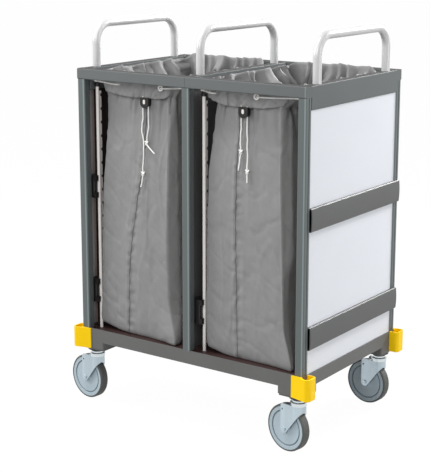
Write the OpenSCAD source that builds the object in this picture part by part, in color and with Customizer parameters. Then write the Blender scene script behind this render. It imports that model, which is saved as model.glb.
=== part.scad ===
// Linen trolley: a wheeled frame with two hanging bags, in millimetres
// X runs left to right, Y from front to back and Z up from the floor

/* [Frame] */
// Width over the posts
body_w = 725; // [720:5:860]
// Depth over the posts
body_d = 485; // [480:5:600]
// Height of the top of the rails
top_z = 945; // [880:5:1040]
// Side of a square post
post_s = 25; // [25:1:28]
// Corner radius of a post
post_r = 5; // [4:0.5:7]
// Wall of a post
post_wall = 2.5; // [2:0.5:3.5]
// Height of the front, rear and middle top rails
rail_h = 29; // [26:1:34]
// Height of the side top rails and of the bands below them
band_h = 60; // [45:1:70]
// Thickness of the side panels
panel_t = 4; // [3:0.5:6]
// How far the side panels sit behind the post faces
panel_inset = 3; // [2:0.5:5]
// How far the bands stand off the side panels
band_proud = 9; // [6:0.5:14]
// Middle heights of the two bands on each side
band_levels = [311, 614]; // [280:1:660]

/* [Base] */
// Top of the base rim
base_z = 218; // [212:1:240]
// Height of the base rim
apron_h = 36; // [30:1:50]
// Wall of the base rim
apron_wall = 5; // [3:0.5:8]
// Plan size of a corner housing
housing = [75, 70]; // [66:1:90]
// Underside of the castor pads
pad_z = 157; // [152:1:160]
// How far a corner bumper stands out at the side
bumper_out = 26; // [24:1:34]
// Wall of a corner bumper
bumper_wall = 4; // [3:0.5:6]

/* [Handles] */
// Outer diameter of the handle tube
handle_d = 22; // [16:1:22]
// Wall of the handle tube
handle_wall = 2; // [1.5:0.5:3]
// Height of a handle above the rail
handle_h = 127; // [90:1:160]
// Distance between the two legs of a handle
handle_span = 350; // [260:5:390]
// Bend radius of the tube at its centre line
handle_bend = 52; // [34:1:60]

/* [Castors] */
// Wheel diameter over the tyre
wheel_d = 125; // [124:1:130]
// Tyre width
tyre_w = 25; // [24:1:30]
// Diameter of the hub inside the tyre
hub_d = 115; // [100:1:116]
// Offset of the axle from the swivel axis
castor_trail = 34; // [25:1:40]
// Swivel axis in from the side and from the front or rear of the posts
castor_inset = [28, 30]; // [28:1:36]
// Turn of each castor: front left, front right, rear left, rear right
castor_yaw = [7, 10, 6, 5]; // [-180:1:180]

/* [Bags] */
// Middle of a bag's mouth, left or right of the partition
bag_x = 178; // [170:1:186]
// Cloth thickness of the shell
bag_wall = 3.5; // [2.5:0.5:5]
// Width of the mouth
mouth_w = 280; // [250:2:300]
// Depth of the mouth
mouth_d = 412; // [400:2:416]
// Diameter of the cord
cord_d = 3.6; // [3:0.2:3.6]

/* [Hidden] */
$fn = 48;
arc_steps = 5;

frame_grey = [0.42, 0.44, 0.43];
cloth_grey = [0.54, 0.54, 0.54];
panel_white = [0.9, 0.91, 0.93];
bumper_yellow = [1.0, 0.8, 0.03];
tube_silver = [0.86, 0.87, 0.89];
zinc = [0.74, 0.79, 0.81];
hub_grey = [0.68, 0.73, 0.76];
tyre_grey = [0.34, 0.33, 0.33];
moulded_white = [0.93, 0.92, 0.88];
moulded_black = [0.05, 0.05, 0.05];
cord_white = [0.95, 0.95, 0.93];

// Frame places
post_x = (body_w - post_s) / 2;
post_y = (body_d - post_s) / 2;
rail_z = top_z - rail_h;
bay_y = body_d / 2 - post_s;
panel_x = body_w / 2 - panel_inset;
edge_r = 3;
seam = 0.3;
post_groove = [2.4, 3];
partition_t = 4;
band_wall = 3;
band_crown = 2;
band_lap = 2.5;

// Base places
deck_t = 6;
deck_z = base_z - 6;
pad_h = 5;
pad_margin = 2;
seat_s = 30;
bumper_h = base_z - pad_z - 4;
bumper_lap = 32;
bumper_lap_t = 3;
bumper_depth = 26;
bumper_front = 14;
bumper_nose_r = 12;
bumper_tail_r = 9;
bumper_web = [40, 44];

// Handle places
handle_r = handle_d / 2;
socket_depth = 18;
socket_gap = 0.05;
handle_x = post_x;

// Castor places
castor_x = body_w / 2 - castor_inset[0];
castor_y = body_d / 2 - castor_inset[1];
wheel_r = wheel_d / 2;
hub_r = hub_d / 2;
head_r = 26;
head_h = 26;
flange_h = 5;
race_r = 21;
race_h = 9;
neck_r = 17;
king_r = 6;
king_head = [9, 3.5];
stem_h = 38;
crown_top = pad_z - head_h - 0.4;
crown_h = 5;
crown_t = 4;
crown_rear = 22;
bearing_r = 12;
nose_h = 14;
fork_gap = 16.5;
fork_t = 3;
fork_end_r = 11;
axle_r = 4;
running_gap = 0.06;
leg_hole_r = 2.5;
rivet_r = 6;
rivet_h = 3;
boss_r = 14;
boss_w = 29;
disc_w = 21;
ring_r = 46;
ring_depth = 2;
rim_w = 23;
tyre_shoulder = 4;

// Upright and hook places: the beads stand at these places in each bay
upright_x = [body_w / 2 - post_s - 9.5, post_s / 2 + 17.5];
upright_y = body_d / 2 - post_s - 17.5;
bead_r = 4.5;
web_t = 3;
web_reach = 14;
notch_r = 4.5;
notch_pitch = 37.5;
upright_top = top_z - 46;
web_top = upright_top - 18;
hook_r = 7.5;
hook_base = upright_top - 5;
hook_shoulder = upright_top + 3;
hook_tip = upright_top + 21;
pin_r = 5.1;
bracket_w = 21.5;
bracket_d = 30;
bracket_clear = 2.5;
bracket_levels = [[618, 62], [322, 66]];
claw_h = 15;
claw_d = 11;
claw_over = 3.5;

// Bag bodies from the bottom up: height, depth and corner radius, then the widths and middles of both
bag_floor = deck_z + 2;
hem_z = top_z - 66;
bag_h = hem_z - bag_floor;
bag_body = [
    [bag_floor, 392, 20, [228, 236], [-200, 163]],
    [bag_floor + 6, 404, 24, [240, 246], [-200, 163]],
    [bag_floor + 26, 412, 24, [246, 250], [-200, 163]],
    [bag_floor + 0.23 * bag_h, 414, 22, [238, 246], [-203, 158]],
    [bag_floor + 0.44 * bag_h, 412, 20, [229, 240], [-203, 156]],
    [bag_floor + 0.74 * bag_h, 406, 18, [220, 222], [-196, 156]],
    [bag_floor + 0.9 * bag_h, 396, 16, [216, 210], [-190, 160]],
    [hem_z, 394, 16, [215, 206], [-188, 161]]
];

// Turned-down cuffs: width and middle of the left and right one, and their depth
cuff_w = [228, 256];
cuff_x = [-189, 168];
cuff_d = 414;
cuff_r = 22;
cuff_top = hem_z + 40;
lip = 9;

// Hanging cords: places of the eyelets, and loops over the hook pins
cord_r = cord_d / 2;
eyelet_r = 8;
eyelet_hole = 4;
eyelet_t = 2;
eyelet_z = top_z - 40;
side_eyelet_z = top_z - 46;
loop_z = top_z - 36;
side_eyelet_y = 100;
front_eyelets = [[-244, -105], [70, 196]];
rear_eyelets = [[-250, -110], [110, 250]];
cord_start = 1.9;
cord_bend = 8.5;
pin_gap = 0.3;

// Cord locks on the drawcords
lock_x = [-157, 158];
lock_y = -205;
lock_z = hem_z - 16;
lock_size = [28, 13, 28];
lock_r = 13;
lock_top_r = 3;
button_rise = 2.5;
strand_x = 9;
strand_gap = 0.4;
button_size = [7, 12];
button_l = 6.7;
button_proud = 1.2;
button_pocket = 10.5;
button_gap = 0.3;

// Drawcord routes down from the hem to the free end: across the lock, depth and height
knot_r = 5.5;
knot_l = 6.5;
left_long = [
    [-9, 0, -0.3], [-9, 0, -12], [-9, 0, -24], [-9, 0, -36], [-9, 0, -48], [-9, 0, -59],
    [-11, -1, -70], [-12, -1, -82], [-12, -2, -94], [-9, -2, -106], [-7, -2, -118], [-6, -2, -130],
    [-6, -3, -142], [-6, -3, -154], [-7, -3, -166], [-7, -4, -178], [-8, -5, -190], [-8, -5, -200],
    [-8, -5, -203], [-8, -5, -207], [-8, -5, -211], [-9, -5, -216], [-10, -5, -224], [-12, -5, -234],
    [-15, -5, -244]
];
left_long_knot = [-8, -5, -207];
left_short = [
    [9, 0, -0.3], [9, 0, -12], [9, 0, -24], [9, 0, -36], [9, 0, -48], [9, 0, -59], [10, -1, -70],
    [10, -1, -82], [8, -2, -94], [6, -2, -105], [5, -2, -115], [4, -2, -119], [3, -2, -123],
    [4, -2, -127], [8, -3, -132], [15, -3, -137], [23, -4, -143], [31, -4, -149]
];
left_short_knot = [3, -2, -123];
right_short = [
    [-9, 0, -0.3], [-9, 0, -12], [-9, 0, -24], [-9, 0, -36], [-9, 0, -48], [-9, 0, -60], [-10, -1, -72],
    [-10, -1, -84], [-10, -2, -96], [-9, -2, -107], [-9, -2, -112], [-9, -2, -116], [-9, -2, -120],
    [-10, -2, -127], [-11, -3, -136], [-12, -3, -146], [-14, -3, -156], [-15, -3, -165]
];
right_short_knot = [-9, -2, -116];
right_long = [
    [9, 0, -0.3], [9, 0, -12], [9, 0, -24], [9, 0, -36], [9, 0, -48], [9, 0, -60], [10, -1, -72],
    [11, -1, -84], [11, -2, -96], [11, -2, -108], [12, -2, -120], [12, -2, -132], [12, -3, -144],
    [12, -4, -155], [12, -4, -161], [12, -4, -165], [12, -4, -169], [12, -4, -176], [12, -4, -185],
    [12, -4, -194]
];
right_long_knot = [12, -4, -165];

// Corner signs in the order of the castors
corner_signs = [[-1, -1], [1, -1], [-1, 1], [1, 1]];

// Points on an arc about c
function arc(c, r, from, to, n = arc_steps) =
    [for (i = [0:n]) let (a = from + (to - from) * i / n) c + r * [cos(a), sin(a)]];

// Outline of a rectangle with round corners
function round_rect(w, d, r, n = arc_steps) = concat(
    arc([w / 2 - r, d / 2 - r], r, 0, 90, n),
    arc([r - w / 2, d / 2 - r], r, 90, 180, n),
    arc([r - w / 2, r - d / 2], r, 180, 270, n),
    arc([w / 2 - r, r - d / 2], r, 270, 360, n)
);

function unit(v) = v / norm(v);

function tangent(path, i) = unit(path[min(i + 1, len(path) - 1)] - path[max(i - 1, 0)]);

// Ring of n points about a path point, square to the path
function tube_ring(c, t, side, r, n) =
    let (a = unit(cross(t, side)), b = cross(a, t))
    [for (k = [0:n - 1]) c + r * (a * cos(360 * k / n) + b * sin(360 * k / n))];

// Cord radius near a knot swells to the knot's own
function knotted_r(p, knot) =
    let (q = norm(p - knot) / knot_l)
    q < 1 ? max(cord_r, knot_r * sqrt(1 - q * q)) : cord_r;

// Closed skin over a stack of rings, with a fan at each end
module skin(rings) {
    n = len(rings[0]);
    last = len(rings) - 1;
    middle = function (ring) [for (axis = [0:2]) (ring[0][axis] + ring[floor(n / 2)][axis]) / 2];
    points = concat([for (ring = rings) each ring], [middle(rings[0]), middle(rings[last])]);
    sides = [
        for (i = [0:last - 1], k = [0:n - 1])
        let (a = i * n + k, b = i * n + (k + 1) % n)
        each [[a, a + n, b], [b, a + n, b + n]]
    ];
    start = [for (k = [0:n - 1]) [(last + 1) * n, k, (k + 1) % n]];
    end = [for (k = [0:n - 1]) [(last + 1) * n + 1, last * n + (k + 1) % n, last * n + k]];
    polyhedron(points, concat(sides, start, end));
}

// Cord along a path, with a side direction that the path never follows
module cord(path, radii, side, n = 8) {
    skin([for (i = [0:len(path) - 1]) tube_ring(path[i], tangent(path, i), side, radii[i], n)]);
}

// Bar along X or Y with round edges, centred on its section
module bar_x(from, to, section, r) {
    translate([from, 0, 0]) rotate([90, 0, 90]) linear_extrude(to - from)
        polygon(round_rect(section[0], section[1], r));
}

module bar_y(from, to, section, r) {
    translate([0, to, 0]) rotate([90, 0, 0]) linear_extrude(to - from)
        polygon(round_rect(section[0], section[1], r));
}

// Places a child drawn for the rear right corner of the base at any corner
module at_corner(s) {
    translate([s[0] * body_w / 2, s[1] * body_d / 2, 0])
        mirror([s[0] < 0 ? 1 : 0, 0, 0]) mirror([0, s[1] < 0 ? 1 : 0, 0]) children();
}

// Base with a rim, a deck, four housings and a seat under each post
module base_tray() {
    color(frame_grey) difference() {
        union() {
            translate([0, 0, base_z - apron_h]) linear_extrude(apron_h) difference() {
                polygon(round_rect(body_w, body_d, post_r));
                polygon(round_rect(body_w - 2 * apron_wall, body_d - 2 * apron_wall, edge_r));
            }
            translate([0, 0, deck_z - deck_t]) linear_extrude(deck_t)
                polygon(round_rect(body_w - apron_wall, body_d - apron_wall, edge_r));
            for (s = corner_signs) at_corner(s) housing_block();
            for (sx = [-1, 0, 1], sy = [-1, 1]) post_seat(sx, sy);
        }
        for (s = corner_signs) translate([s[0] * castor_x, s[1] * castor_y, pad_z - 1])
            cylinder(r = king_r + socket_gap, h = stem_h + 3);
    }
}

module post_seat(sx, sy) {
    translate([sx * (body_w - seat_s) / 2, sy * (body_d - seat_s) / 2, base_z - apron_h])
        linear_extrude(apron_h) polygon(round_rect(seat_s, seat_s, post_r));
}

module housing_block() {
    pad = housing - [2 * pad_margin, 2 * pad_margin];
    translate([-housing[0] / 2, -housing[1] / 2, pad_z + pad_h]) linear_extrude(deck_z - pad_z - pad_h)
        polygon(round_rect(housing[0], housing[1], post_r));
    translate([-housing[0] / 2, -housing[1] / 2, pad_z]) linear_extrude(pad_h + 1)
        polygon(round_rect(pad[0], pad[1], post_r));
}

// Hollow corner bumper, open at the top and bottom round a thin web
module bumper(s) {
    tail = [bumper_out - bumper_tail_r, bumper_tail_r - bumper_depth];
    nose = [bumper_out - bumper_nose_r, bumper_front - bumper_nose_r];
    outline = concat(
        [[-bumper_lap, 0], [0, 0], [0, -bumper_depth]],
        arc(tail, bumper_tail_r, -90, 0), arc(nose, bumper_nose_r, 0, 104, 8),
        [[-bumper_lap, bumper_lap_t]]
    );
    pocket = concat(
        [[0, bumper_wall - bumper_depth]],
        arc(tail, bumper_tail_r - bumper_wall, -90, 0), arc(nose, bumper_nose_r - bumper_wall, 0, 104, 8),
        [[0, bumper_front - bumper_wall - 4]]
    );
    color(bumper_yellow) at_corner(s) translate([0, 0, base_z - bumper_h]) difference() {
        linear_extrude(bumper_h) polygon(outline);
        translate([0, 0, -1]) linear_extrude(bumper_web[0] + 1) polygon(pocket);
        translate([0, 0, bumper_web[1]]) linear_extrude(bumper_h) polygon(pocket);
    }
}

// Hollow square post, with a groove down the outer face of the corner ones
module post(sx, sy) {
    bore = post_s - 2 * post_wall;
    color(frame_grey) translate([sx * post_x, sy * post_y, base_z])
        linear_extrude(rail_z - base_z) difference() {
            polygon(round_rect(post_s, post_s, post_r));
            polygon(round_rect(bore, bore, post_r - post_wall + 0.5));
            if (sx != 0) translate([sx * post_s / 2, 0]) square(post_groove, center = true);
        }
}

// Half of the front or rear rail, which run over the post tops and meet at the middle
module top_rail_half(sx, sy) {
    from = sx < 0 ? -body_w / 2 : seam;
    to = sx < 0 ? -seam : body_w / 2;
    color(frame_grey) translate([0, sy * post_y, rail_z + rail_h / 2])
        bar_x(from, to, [post_s, rail_h], edge_r);
}

// Blind holes for the legs of a handle
module handle_sockets() {
    for (sy = [-1, 1]) translate([0, sy * handle_span / 2, top_z - socket_depth])
        cylinder(r = handle_r + socket_gap, h = socket_depth + 1);
}

module top_rail_side(sx) {
    color(frame_grey) translate([sx * post_x, 0, 0]) difference() {
        translate([0, 0, top_z - band_h / 2]) bar_y(-bay_y, bay_y, [post_s, band_h], edge_r);
        handle_sockets();
    }
}

module top_rail_middle() {
    color(frame_grey) difference() {
        translate([0, 0, rail_z + rail_h / 2]) bar_y(-bay_y, bay_y, [post_s, rail_h], edge_r);
        handle_sockets();
    }
}

module handle_section() {
    difference() {
        circle(handle_r);
        circle(handle_r - handle_wall);
    }
}

// Bent tube with its legs in the sockets of a rail
module handle(x) {
    foot = top_z - socket_depth;
    bar_z = top_z + handle_h - handle_r;
    bend_y = handle_span / 2 - handle_bend;
    color(tube_silver) translate([x, 0, 0]) union() {
        for (sy = [0, 1]) mirror([0, sy, 0]) {
            translate([0, handle_span / 2, foot]) linear_extrude(bar_z - handle_bend - foot) handle_section();
            translate([0, bend_y, bar_z - handle_bend]) rotate([90, 0, 90]) rotate_extrude(angle = 90)
                translate([handle_bend, 0]) handle_section();
        }
        translate([0, bend_y, bar_z]) rotate([90, 0, 0]) linear_extrude(2 * bend_y) handle_section();
    }
}

module side_panel(sx) {
    height = top_z - band_h - base_z;
    color(panel_white) translate([sx * (panel_x - panel_t / 2), 0, base_z + height / 2])
        cube([panel_t, 2 * bay_y, height], center = true);
}

module partition_panel() {
    height = rail_z - base_z;
    color(frame_grey) translate([0, 0, base_z + height / 2])
        cube([partition_t, 2 * bay_y, height], center = true);
}

// Crowned channel of a band: the outer skin, or its hollow when it is drawn in by a wall
function band_outline(inset) =
    let (half = band_h / 2 - inset, crest = band_proud - inset)
    let (curve = (half * half + band_crown * band_crown) / (2 * band_crown))
    let (sweep = asin((half - 2) / curve))
    concat([[-inset, -half], [crest - 4, -half]], arc([crest - curve, 0], curve, -sweep, sweep, 8),
        [[crest - 4, half], [-inset, half]]);

// Two hollow bands on a side panel, which lap over the rear post
module side_bands(sx) {
    rear = body_d / 2 - band_lap;
    color(frame_grey) for (z = band_levels) mirror([sx < 0 ? 1 : 0, 0, 0]) difference() {
        translate([panel_x, rear, z]) rotate([90, 0, 0]) linear_extrude(rear + bay_y) difference() {
            polygon(band_outline(0));
            polygon(band_outline(band_wall));
        }
        translate([panel_x - 1, bay_y, z - band_h]) cube([panel_inset + 1, post_s, 2 * band_h]);
    }
}

// Edge of an upright's web, with a row of round notches
function web_outline() =
    let (foot = deck_z + 20, count = floor((web_top - foot - notch_r) / notch_pitch))
    concat(
        [[0, foot], [web_reach, foot]],
        [for (i = [1:count]) each arc([web_reach, foot + i * notch_pitch], notch_r, 270, 90)],
        [[web_reach, web_top], [0, web_top]]
    );

// Notched white uprights at the corners of both bays
module bag_uprights() {
    color(moulded_white) for (sx = [-1, 1], sy = [0, 1], x = upright_x) mirror([0, sy, 0])
        translate([sx * x, -upright_y, 0]) {
            translate([0, 0, deck_z]) cylinder(r = bead_r, h = upright_top - deck_z);
            translate([-web_t / 2, 0, 0]) rotate([90, 0, 90]) linear_extrude(web_t) polygon(web_outline());
        }
}

// Black clips that hold the uprights to the posts, each with two claws in front of the bead
module upright_brackets() {
    side_from = upright_x[0] + bracket_clear;
    middle_to = upright_x[1] - bracket_clear;
    color(moulded_black) for (sx = [0, 1], sy = [0, 1]) mirror([sx, 0, 0]) mirror([0, sy, 0]) {
        for (level = bracket_levels) upright_bracket(side_from, side_from + bracket_w, upright_x[0], level);
        upright_bracket(partition_t / 2, middle_to, upright_x[1], bracket_levels[1]);
    }
}

module upright_bracket(from, to, bead_x, level) {
    claw = bead_x < from ? [bead_x - claw_over, from + 2] : [to - 2, bead_x + claw_over];
    translate([0, 0, level[0] - level[1] / 2]) {
        linear_extrude(level[1]) difference() {
            translate([(from + to) / 2, bracket_d / 2 - bay_y])
                polygon(round_rect(to - from, bracket_d, edge_r));
            translate([bead_x, -upright_y]) circle(bead_r + 0.2);
        }
        for (z = [0, level[1] - claw_h]) translate([claw[0], -bay_y, z])
            cube([claw[1] - claw[0], claw_d, claw_h]);
    }
}

// Caps on the uprights, each with a pin that a cord loop drops over
module cord_hooks() {
    outline = [
        [bead_r + 0.1, hook_base], [hook_r, hook_base], [hook_r, hook_shoulder - 1.5],
        [hook_r - 1.5, hook_shoulder], [pin_r, hook_shoulder], [pin_r, hook_tip - 3],
        [pin_r - 2.5, hook_tip], [0, hook_tip], [0, upright_top], [bead_r + 0.1, upright_top]
    ];
    color(moulded_black) for (sx = [-1, 1], sy = [-1, 1], x = upright_x)
        translate([sx * x, sy * upright_y, 0]) rotate_extrude() polygon(outline);
}

module at_castor(i) {
    s = corner_signs[i];
    translate([s[0] * castor_x, s[1] * castor_y, 0]) rotate([0, 0, -castor_yaw[i]]) children();
}

// Turns a child drawn round Z onto the axle
module on_axle(i) {
    at_castor(i) translate([-castor_trail, 0, wheel_r]) rotate([90, 0, 0]) children();
}

// Fixed castor heads, each with a stem in the housing and a king pin below
module castor_heads() {
    king_z = crown_top - crown_h - 0.4;
    outline = [
        [0, king_z - king_head[1]], [king_head[0], king_z - king_head[1]], [king_head[0], king_z],
        [king_r, king_z], [king_r, pad_z - head_h], [race_r, pad_z - head_h],
        [race_r, pad_z - head_h + race_h], [neck_r, pad_z - head_h + race_h + 2],
        [neck_r, pad_z - flange_h], [head_r, pad_z - flange_h], [head_r, pad_z],
        [king_r, pad_z], [king_r, pad_z + stem_h], [0, pad_z + stem_h]
    ];
    color(zinc) for (i = [0:3]) at_castor(i) rotate_extrude() polygon(outline);
}

// Side view of a fork, from the nose down to the axle and up the trailing edge
function fork_outline() =
    let (nose = fork_gap + fork_t + 1, back = castor_trail + fork_end_r)
    concat(
        [[nose, crown_top], [nose, crown_top - nose_h]],
        arc([-castor_trail, wheel_r], fork_end_r, -36, -180, 10),
        [[-back, crown_top - 5], [5 - back, crown_top]]
    );

// Plan of a fork channel: round at the nose and open at the trailing end
module fork_plan(half) {
    circle(half);
    translate([-2 * castor_trail, -half]) square([2 * castor_trail, 2 * half]);
}

// Pressed fork: a channel cut off at a slant, with a top plate and a bearing boss
module castor_fork(i) {
    half = fork_gap + fork_t;
    color(zinc) difference() {
        at_castor(i) {
            translate([0, 0, crown_top - crown_h]) cylinder(r = bearing_r, h = crown_h);
            translate([0, 0, crown_top - crown_t]) cylinder(r = half, h = crown_t);
            translate([-crown_rear, -half, crown_top - crown_t]) cube([crown_rear, 2 * half, crown_t]);
            intersection() {
                linear_extrude(crown_top) difference() {
                    fork_plan(half);
                    fork_plan(fork_gap);
                }
                rotate([90, 0, 0]) linear_extrude(3 * half, center = true) polygon(fork_outline());
            }
        }
        at_castor(i) cylinder(r = king_r + running_gap, h = pad_z);
        on_axle(i) cylinder(r = axle_r + 0.02, h = 3 * fork_gap, center = true);
        at_castor(i) translate([-castor_trail - 5, 0, crown_top - 15]) rotate([90, 0, 0])
            cylinder(r = leg_hole_r, h = 3 * fork_gap, center = true);
    }
}

// Axle with a low round head at each end
module castor_axle(i) {
    half = fork_gap + fork_t;
    color(zinc) on_axle(i) {
        cylinder(r = axle_r, h = 2 * half + 2, center = true);
        for (s = [0, 1]) mirror([0, 0, s]) translate([0, 0, half]) cylinder(r = rivet_r, h = rivet_h);
    }
}

// Outline mirrored to the other side of a wheel
function both_sides(half) = concat(half, [for (k = [len(half) - 1:-1:0]) [half[k][0], -half[k][1]]]);

// Wheel hub: a disc with a boss and a ring groove, turned in one piece
module wheel_hub(i) {
    bore = axle_r + running_gap;
    face = disc_w / 2;
    half = [
        [bore, boss_w / 2], [boss_r - 2, boss_w / 2], [boss_r, face],
        [ring_r - 2, face], [ring_r - 1, face - ring_depth], [ring_r + 1, face - ring_depth],
        [ring_r + 2.5, rim_w / 2], [hub_r, rim_w / 2]
    ];
    color(hub_grey) on_axle(i) rotate_extrude() polygon(both_sides(half));
}

module wheel_tyre(i) {
    shoulder = [wheel_r - tyre_shoulder, tyre_w / 2 - tyre_shoulder];
    half = concat([[hub_r, tyre_w / 2]], arc(shoulder, tyre_shoulder, 90, 0));
    color(tyre_grey) on_axle(i) rotate_extrude() polygon(both_sides(half));
}

// Ring of a bag at one height
function bag_ring(z, x, w, d, r) = [for (p = round_rect(w, d, r)) [x + p[0], p[1], z]];

// Rings of a bag's body from the bottom up, drawn in by a wall
function body_rings(i, inset) = [
    for (b = bag_body)
    bag_ring(max(b[0], bag_floor + inset), b[4][i], b[3][i] - 2 * inset, b[1] - 2 * inset, b[2] - inset)
];

function reversed(list) = [for (i = [len(list) - 1:-1:0]) list[i]];

// Open bag with a turned-down cuff that flares to the mouth
module bag(i) {
    x = (2 * i - 1) * bag_x;
    rim_z = top_z - 2;
    cuff = [
        bag_ring(hem_z, cuff_x[i], cuff_w[i], cuff_d, cuff_r),
        bag_ring(cuff_top, cuff_x[i], cuff_w[i], cuff_d, cuff_r),
        bag_ring(rim_z - 8, x, mouth_w - 4, mouth_d - 2, 30),
        bag_ring(rim_z, x, mouth_w, mouth_d, 32)
    ];
    mouth = [
        bag_ring(rim_z, x, mouth_w - lip, mouth_d - lip, 28),
        bag_ring(rim_z - 8, x, mouth_w - 2 * lip, mouth_d - 2 * lip, 26),
        bag_ring(cuff_top, cuff_x[i], cuff_w[i] - 2 * lip, cuff_d - 2 * lip, 20)
    ];
    color(cloth_grey) skin(concat(body_rings(i, 0), cuff, mouth, reversed(body_rings(i, bag_wall))));
}

module eyelet() {
    difference() {
        cylinder(r = eyelet_r, h = eyelet_t);
        translate([0, 0, -1]) cylinder(r = eyelet_hole, h = eyelet_t + 2);
    }
}

// Eyelets on the front, rear and sides of a cuff; the front left cord goes straight into the cloth
module bag_eyelets(i) {
    color(moulded_white) {
        translate([front_eyelets[i][1], -cuff_d / 2, eyelet_z]) rotate([90, 0, 0]) eyelet();
        for (x = rear_eyelets[i]) translate([x, cuff_d / 2, eyelet_z]) rotate([-90, 0, 0]) eyelet();
        for (s = [-1, 1], y = [-1, 1])
            translate([cuff_x[i] + s * cuff_w[i] / 2, y * side_eyelet_y, side_eyelet_z])
            rotate([0, s * 90, 0]) eyelet();
    }
}

// Angle at which a line from e meets a circle about p, on one side of it
function touch(e, p, r, side) = let (d = e - p) atan2(d[1], d[0]) + side * acos(r / norm(d));

// Bend of a cord out of an eyelet: along the cloth and away from it
function eyelet_bend() =
    let (c = cord_bend * [sin(45), -cos(45)] + [0, cord_start])
    arc(c, cord_bend, 135, 90, 4);

// Loop from an end eyelet, over a hook pin and back to a side eyelet, for a rear right corner
function loop_path(end_x, side_x, pin) =
    let (r = pin_r + cord_r + pin_gap)
    let (out = [for (p = eyelet_bend()) [end_x, cuff_d / 2] + p])
    let (back = [for (p = eyelet_bend()) [side_x + p[1], side_eyelet_y + p[0]]])
    let (from = touch(out[4], pin, r, -1), to = touch(back[4], pin, r, 1))
    concat(
        [for (p = out) [p[0], p[1], eyelet_z]],
        [for (p = arc(pin, r, from, to, 8)) [p[0], p[1], loop_z]],
        [for (p = reversed(back)) [p[0], p[1], side_eyelet_z]]
    );

// Four loops that hang a bag from the hooks, mirrored to their corners
module hanging_cords(i) {
    pins = i == 0 ? [-upright_x[0], -upright_x[1]] : [upright_x[1], upright_x[0]];
    color(cord_white) for (k = [0, 1], y = [0, 1]) {
        s = 2 * k - 1;
        ends = y == 0 ? rear_eyelets[i] : front_eyelets[i];
        side_x = cuff_x[i] + s * cuff_w[i] / 2;
        path = loop_path(s * ends[k], s * side_x, [s * pins[k], upright_y]);
        mirror([1 - k, 0, 0]) mirror([0, y, 0]) cord(path, [for (p = path) cord_r], [0, 0, 1]);
    }
}

// Free end of a drawcord, with its knot
module drawcord(i, route, knot) {
    color(cord_white) translate([lock_x[i], lock_y, hem_z])
        cord(route, [for (p = route) knotted_r(p, knot)], [0, 1, 0]);
}

module at_lock(i) {
    translate([lock_x[i], lock_y, lock_z]) children();
}

// Outline of the button and, with a gap, of its pocket
function button_outline(gap) =
    let (size = button_size + [2 * gap, 2 * gap])
    round_rect(size[0], size[1], size[0] / 2 - 0.01, 8);

// Front view of a lock: flat at the top and round at the bottom
function lock_outline() =
    let (x = lock_size[0] / 2, z = lock_size[2] / 2)
    concat(
        arc([x - lock_top_r, z - lock_top_r], lock_top_r, 0, 90),
        arc([lock_top_r - x, z - lock_top_r], lock_top_r, 90, 180),
        arc([lock_r - x, lock_r - z], lock_r, 180, 270, 8),
        arc([x - lock_r, lock_r - z], lock_r, 270, 360, 8)
    );

module cord_lock(i) {
    color(moulded_black) at_lock(i) difference() {
        translate([0, lock_size[1] / 2, 0]) rotate([90, 0, 0]) linear_extrude(lock_size[1])
            polygon(lock_outline());
        for (s = [-1, 1]) translate([s * strand_x, 0, 0])
            cylinder(r = cord_r + strand_gap, h = 2 * lock_size[2], center = true);
        translate([0, button_pocket - lock_size[1] / 2, button_rise]) rotate([90, 0, 0])
            linear_extrude(2 * button_pocket) polygon(button_outline(button_gap));
    }
}

// Spring button that frees the cords, proud of the front of its lock
module cord_lock_button(i) {
    color(moulded_white) at_lock(i) translate([0, button_l - button_proud - lock_size[1] / 2, button_rise])
        rotate([90, 0, 0]) linear_extrude(button_l) polygon(button_outline(0));
}

base_tray();
bumper([-1, -1]);  // bumper_front_left
bumper([1, -1]);  // bumper_front_right
bumper([-1, 1]);  // bumper_rear_left
bumper([1, 1]);  // bumper_rear_right
post(-1, -1);  // post_front_left
post(0, -1);  // post_front_middle
post(1, -1);  // post_front_right
post(-1, 1);  // post_rear_left
post(0, 1);  // post_rear_middle
post(1, 1);  // post_rear_right
top_rail_half(-1, -1);  // top_rail_front_left
top_rail_half(1, -1);  // top_rail_front_right
top_rail_half(-1, 1);  // top_rail_rear_left
top_rail_half(1, 1);  // top_rail_rear_right
top_rail_side(-1);  // top_rail_side_left
top_rail_side(1);  // top_rail_side_right
top_rail_middle();
handle(-handle_x);  // handle_left
handle(0);  // handle_middle
handle(handle_x);  // handle_right
side_panel(-1);  // side_panel_left
side_panel(1);  // side_panel_right
partition_panel();
side_bands(-1);  // side_bands_left
side_bands(1);  // side_bands_right
bag_uprights();
upright_brackets();
cord_hooks();
castor_heads();
castor_fork(0);  // castor_fork_front_left
castor_fork(1);  // castor_fork_front_right
castor_fork(2);  // castor_fork_rear_left
castor_fork(3);  // castor_fork_rear_right
castor_axle(0);  // castor_axle_front_left
castor_axle(1);  // castor_axle_front_right
castor_axle(2);  // castor_axle_rear_left
castor_axle(3);  // castor_axle_rear_right
wheel_hub(0);  // wheel_hub_front_left
wheel_hub(1);  // wheel_hub_front_right
wheel_hub(2);  // wheel_hub_rear_left
wheel_hub(3);  // wheel_hub_rear_right
wheel_tyre(0);  // wheel_tyre_front_left
wheel_tyre(1);  // wheel_tyre_front_right
wheel_tyre(2);  // wheel_tyre_rear_left
wheel_tyre(3);  // wheel_tyre_rear_right
bag(0);  // bag_left
bag(1);  // bag_right
bag_eyelets(0);  // bag_eyelets_left
bag_eyelets(1);  // bag_eyelets_right
hanging_cords(0);  // hanging_cords_left
hanging_cords(1);  // hanging_cords_right
drawcord(0, left_long, left_long_knot);  // drawcord_long_left
drawcord(1, right_long, right_long_knot);  // drawcord_long_right
drawcord(0, left_short, left_short_knot);  // drawcord_short_left
drawcord(1, right_short, right_short_knot);  // drawcord_short_right
cord_lock(0);  // cord_lock_left
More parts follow.
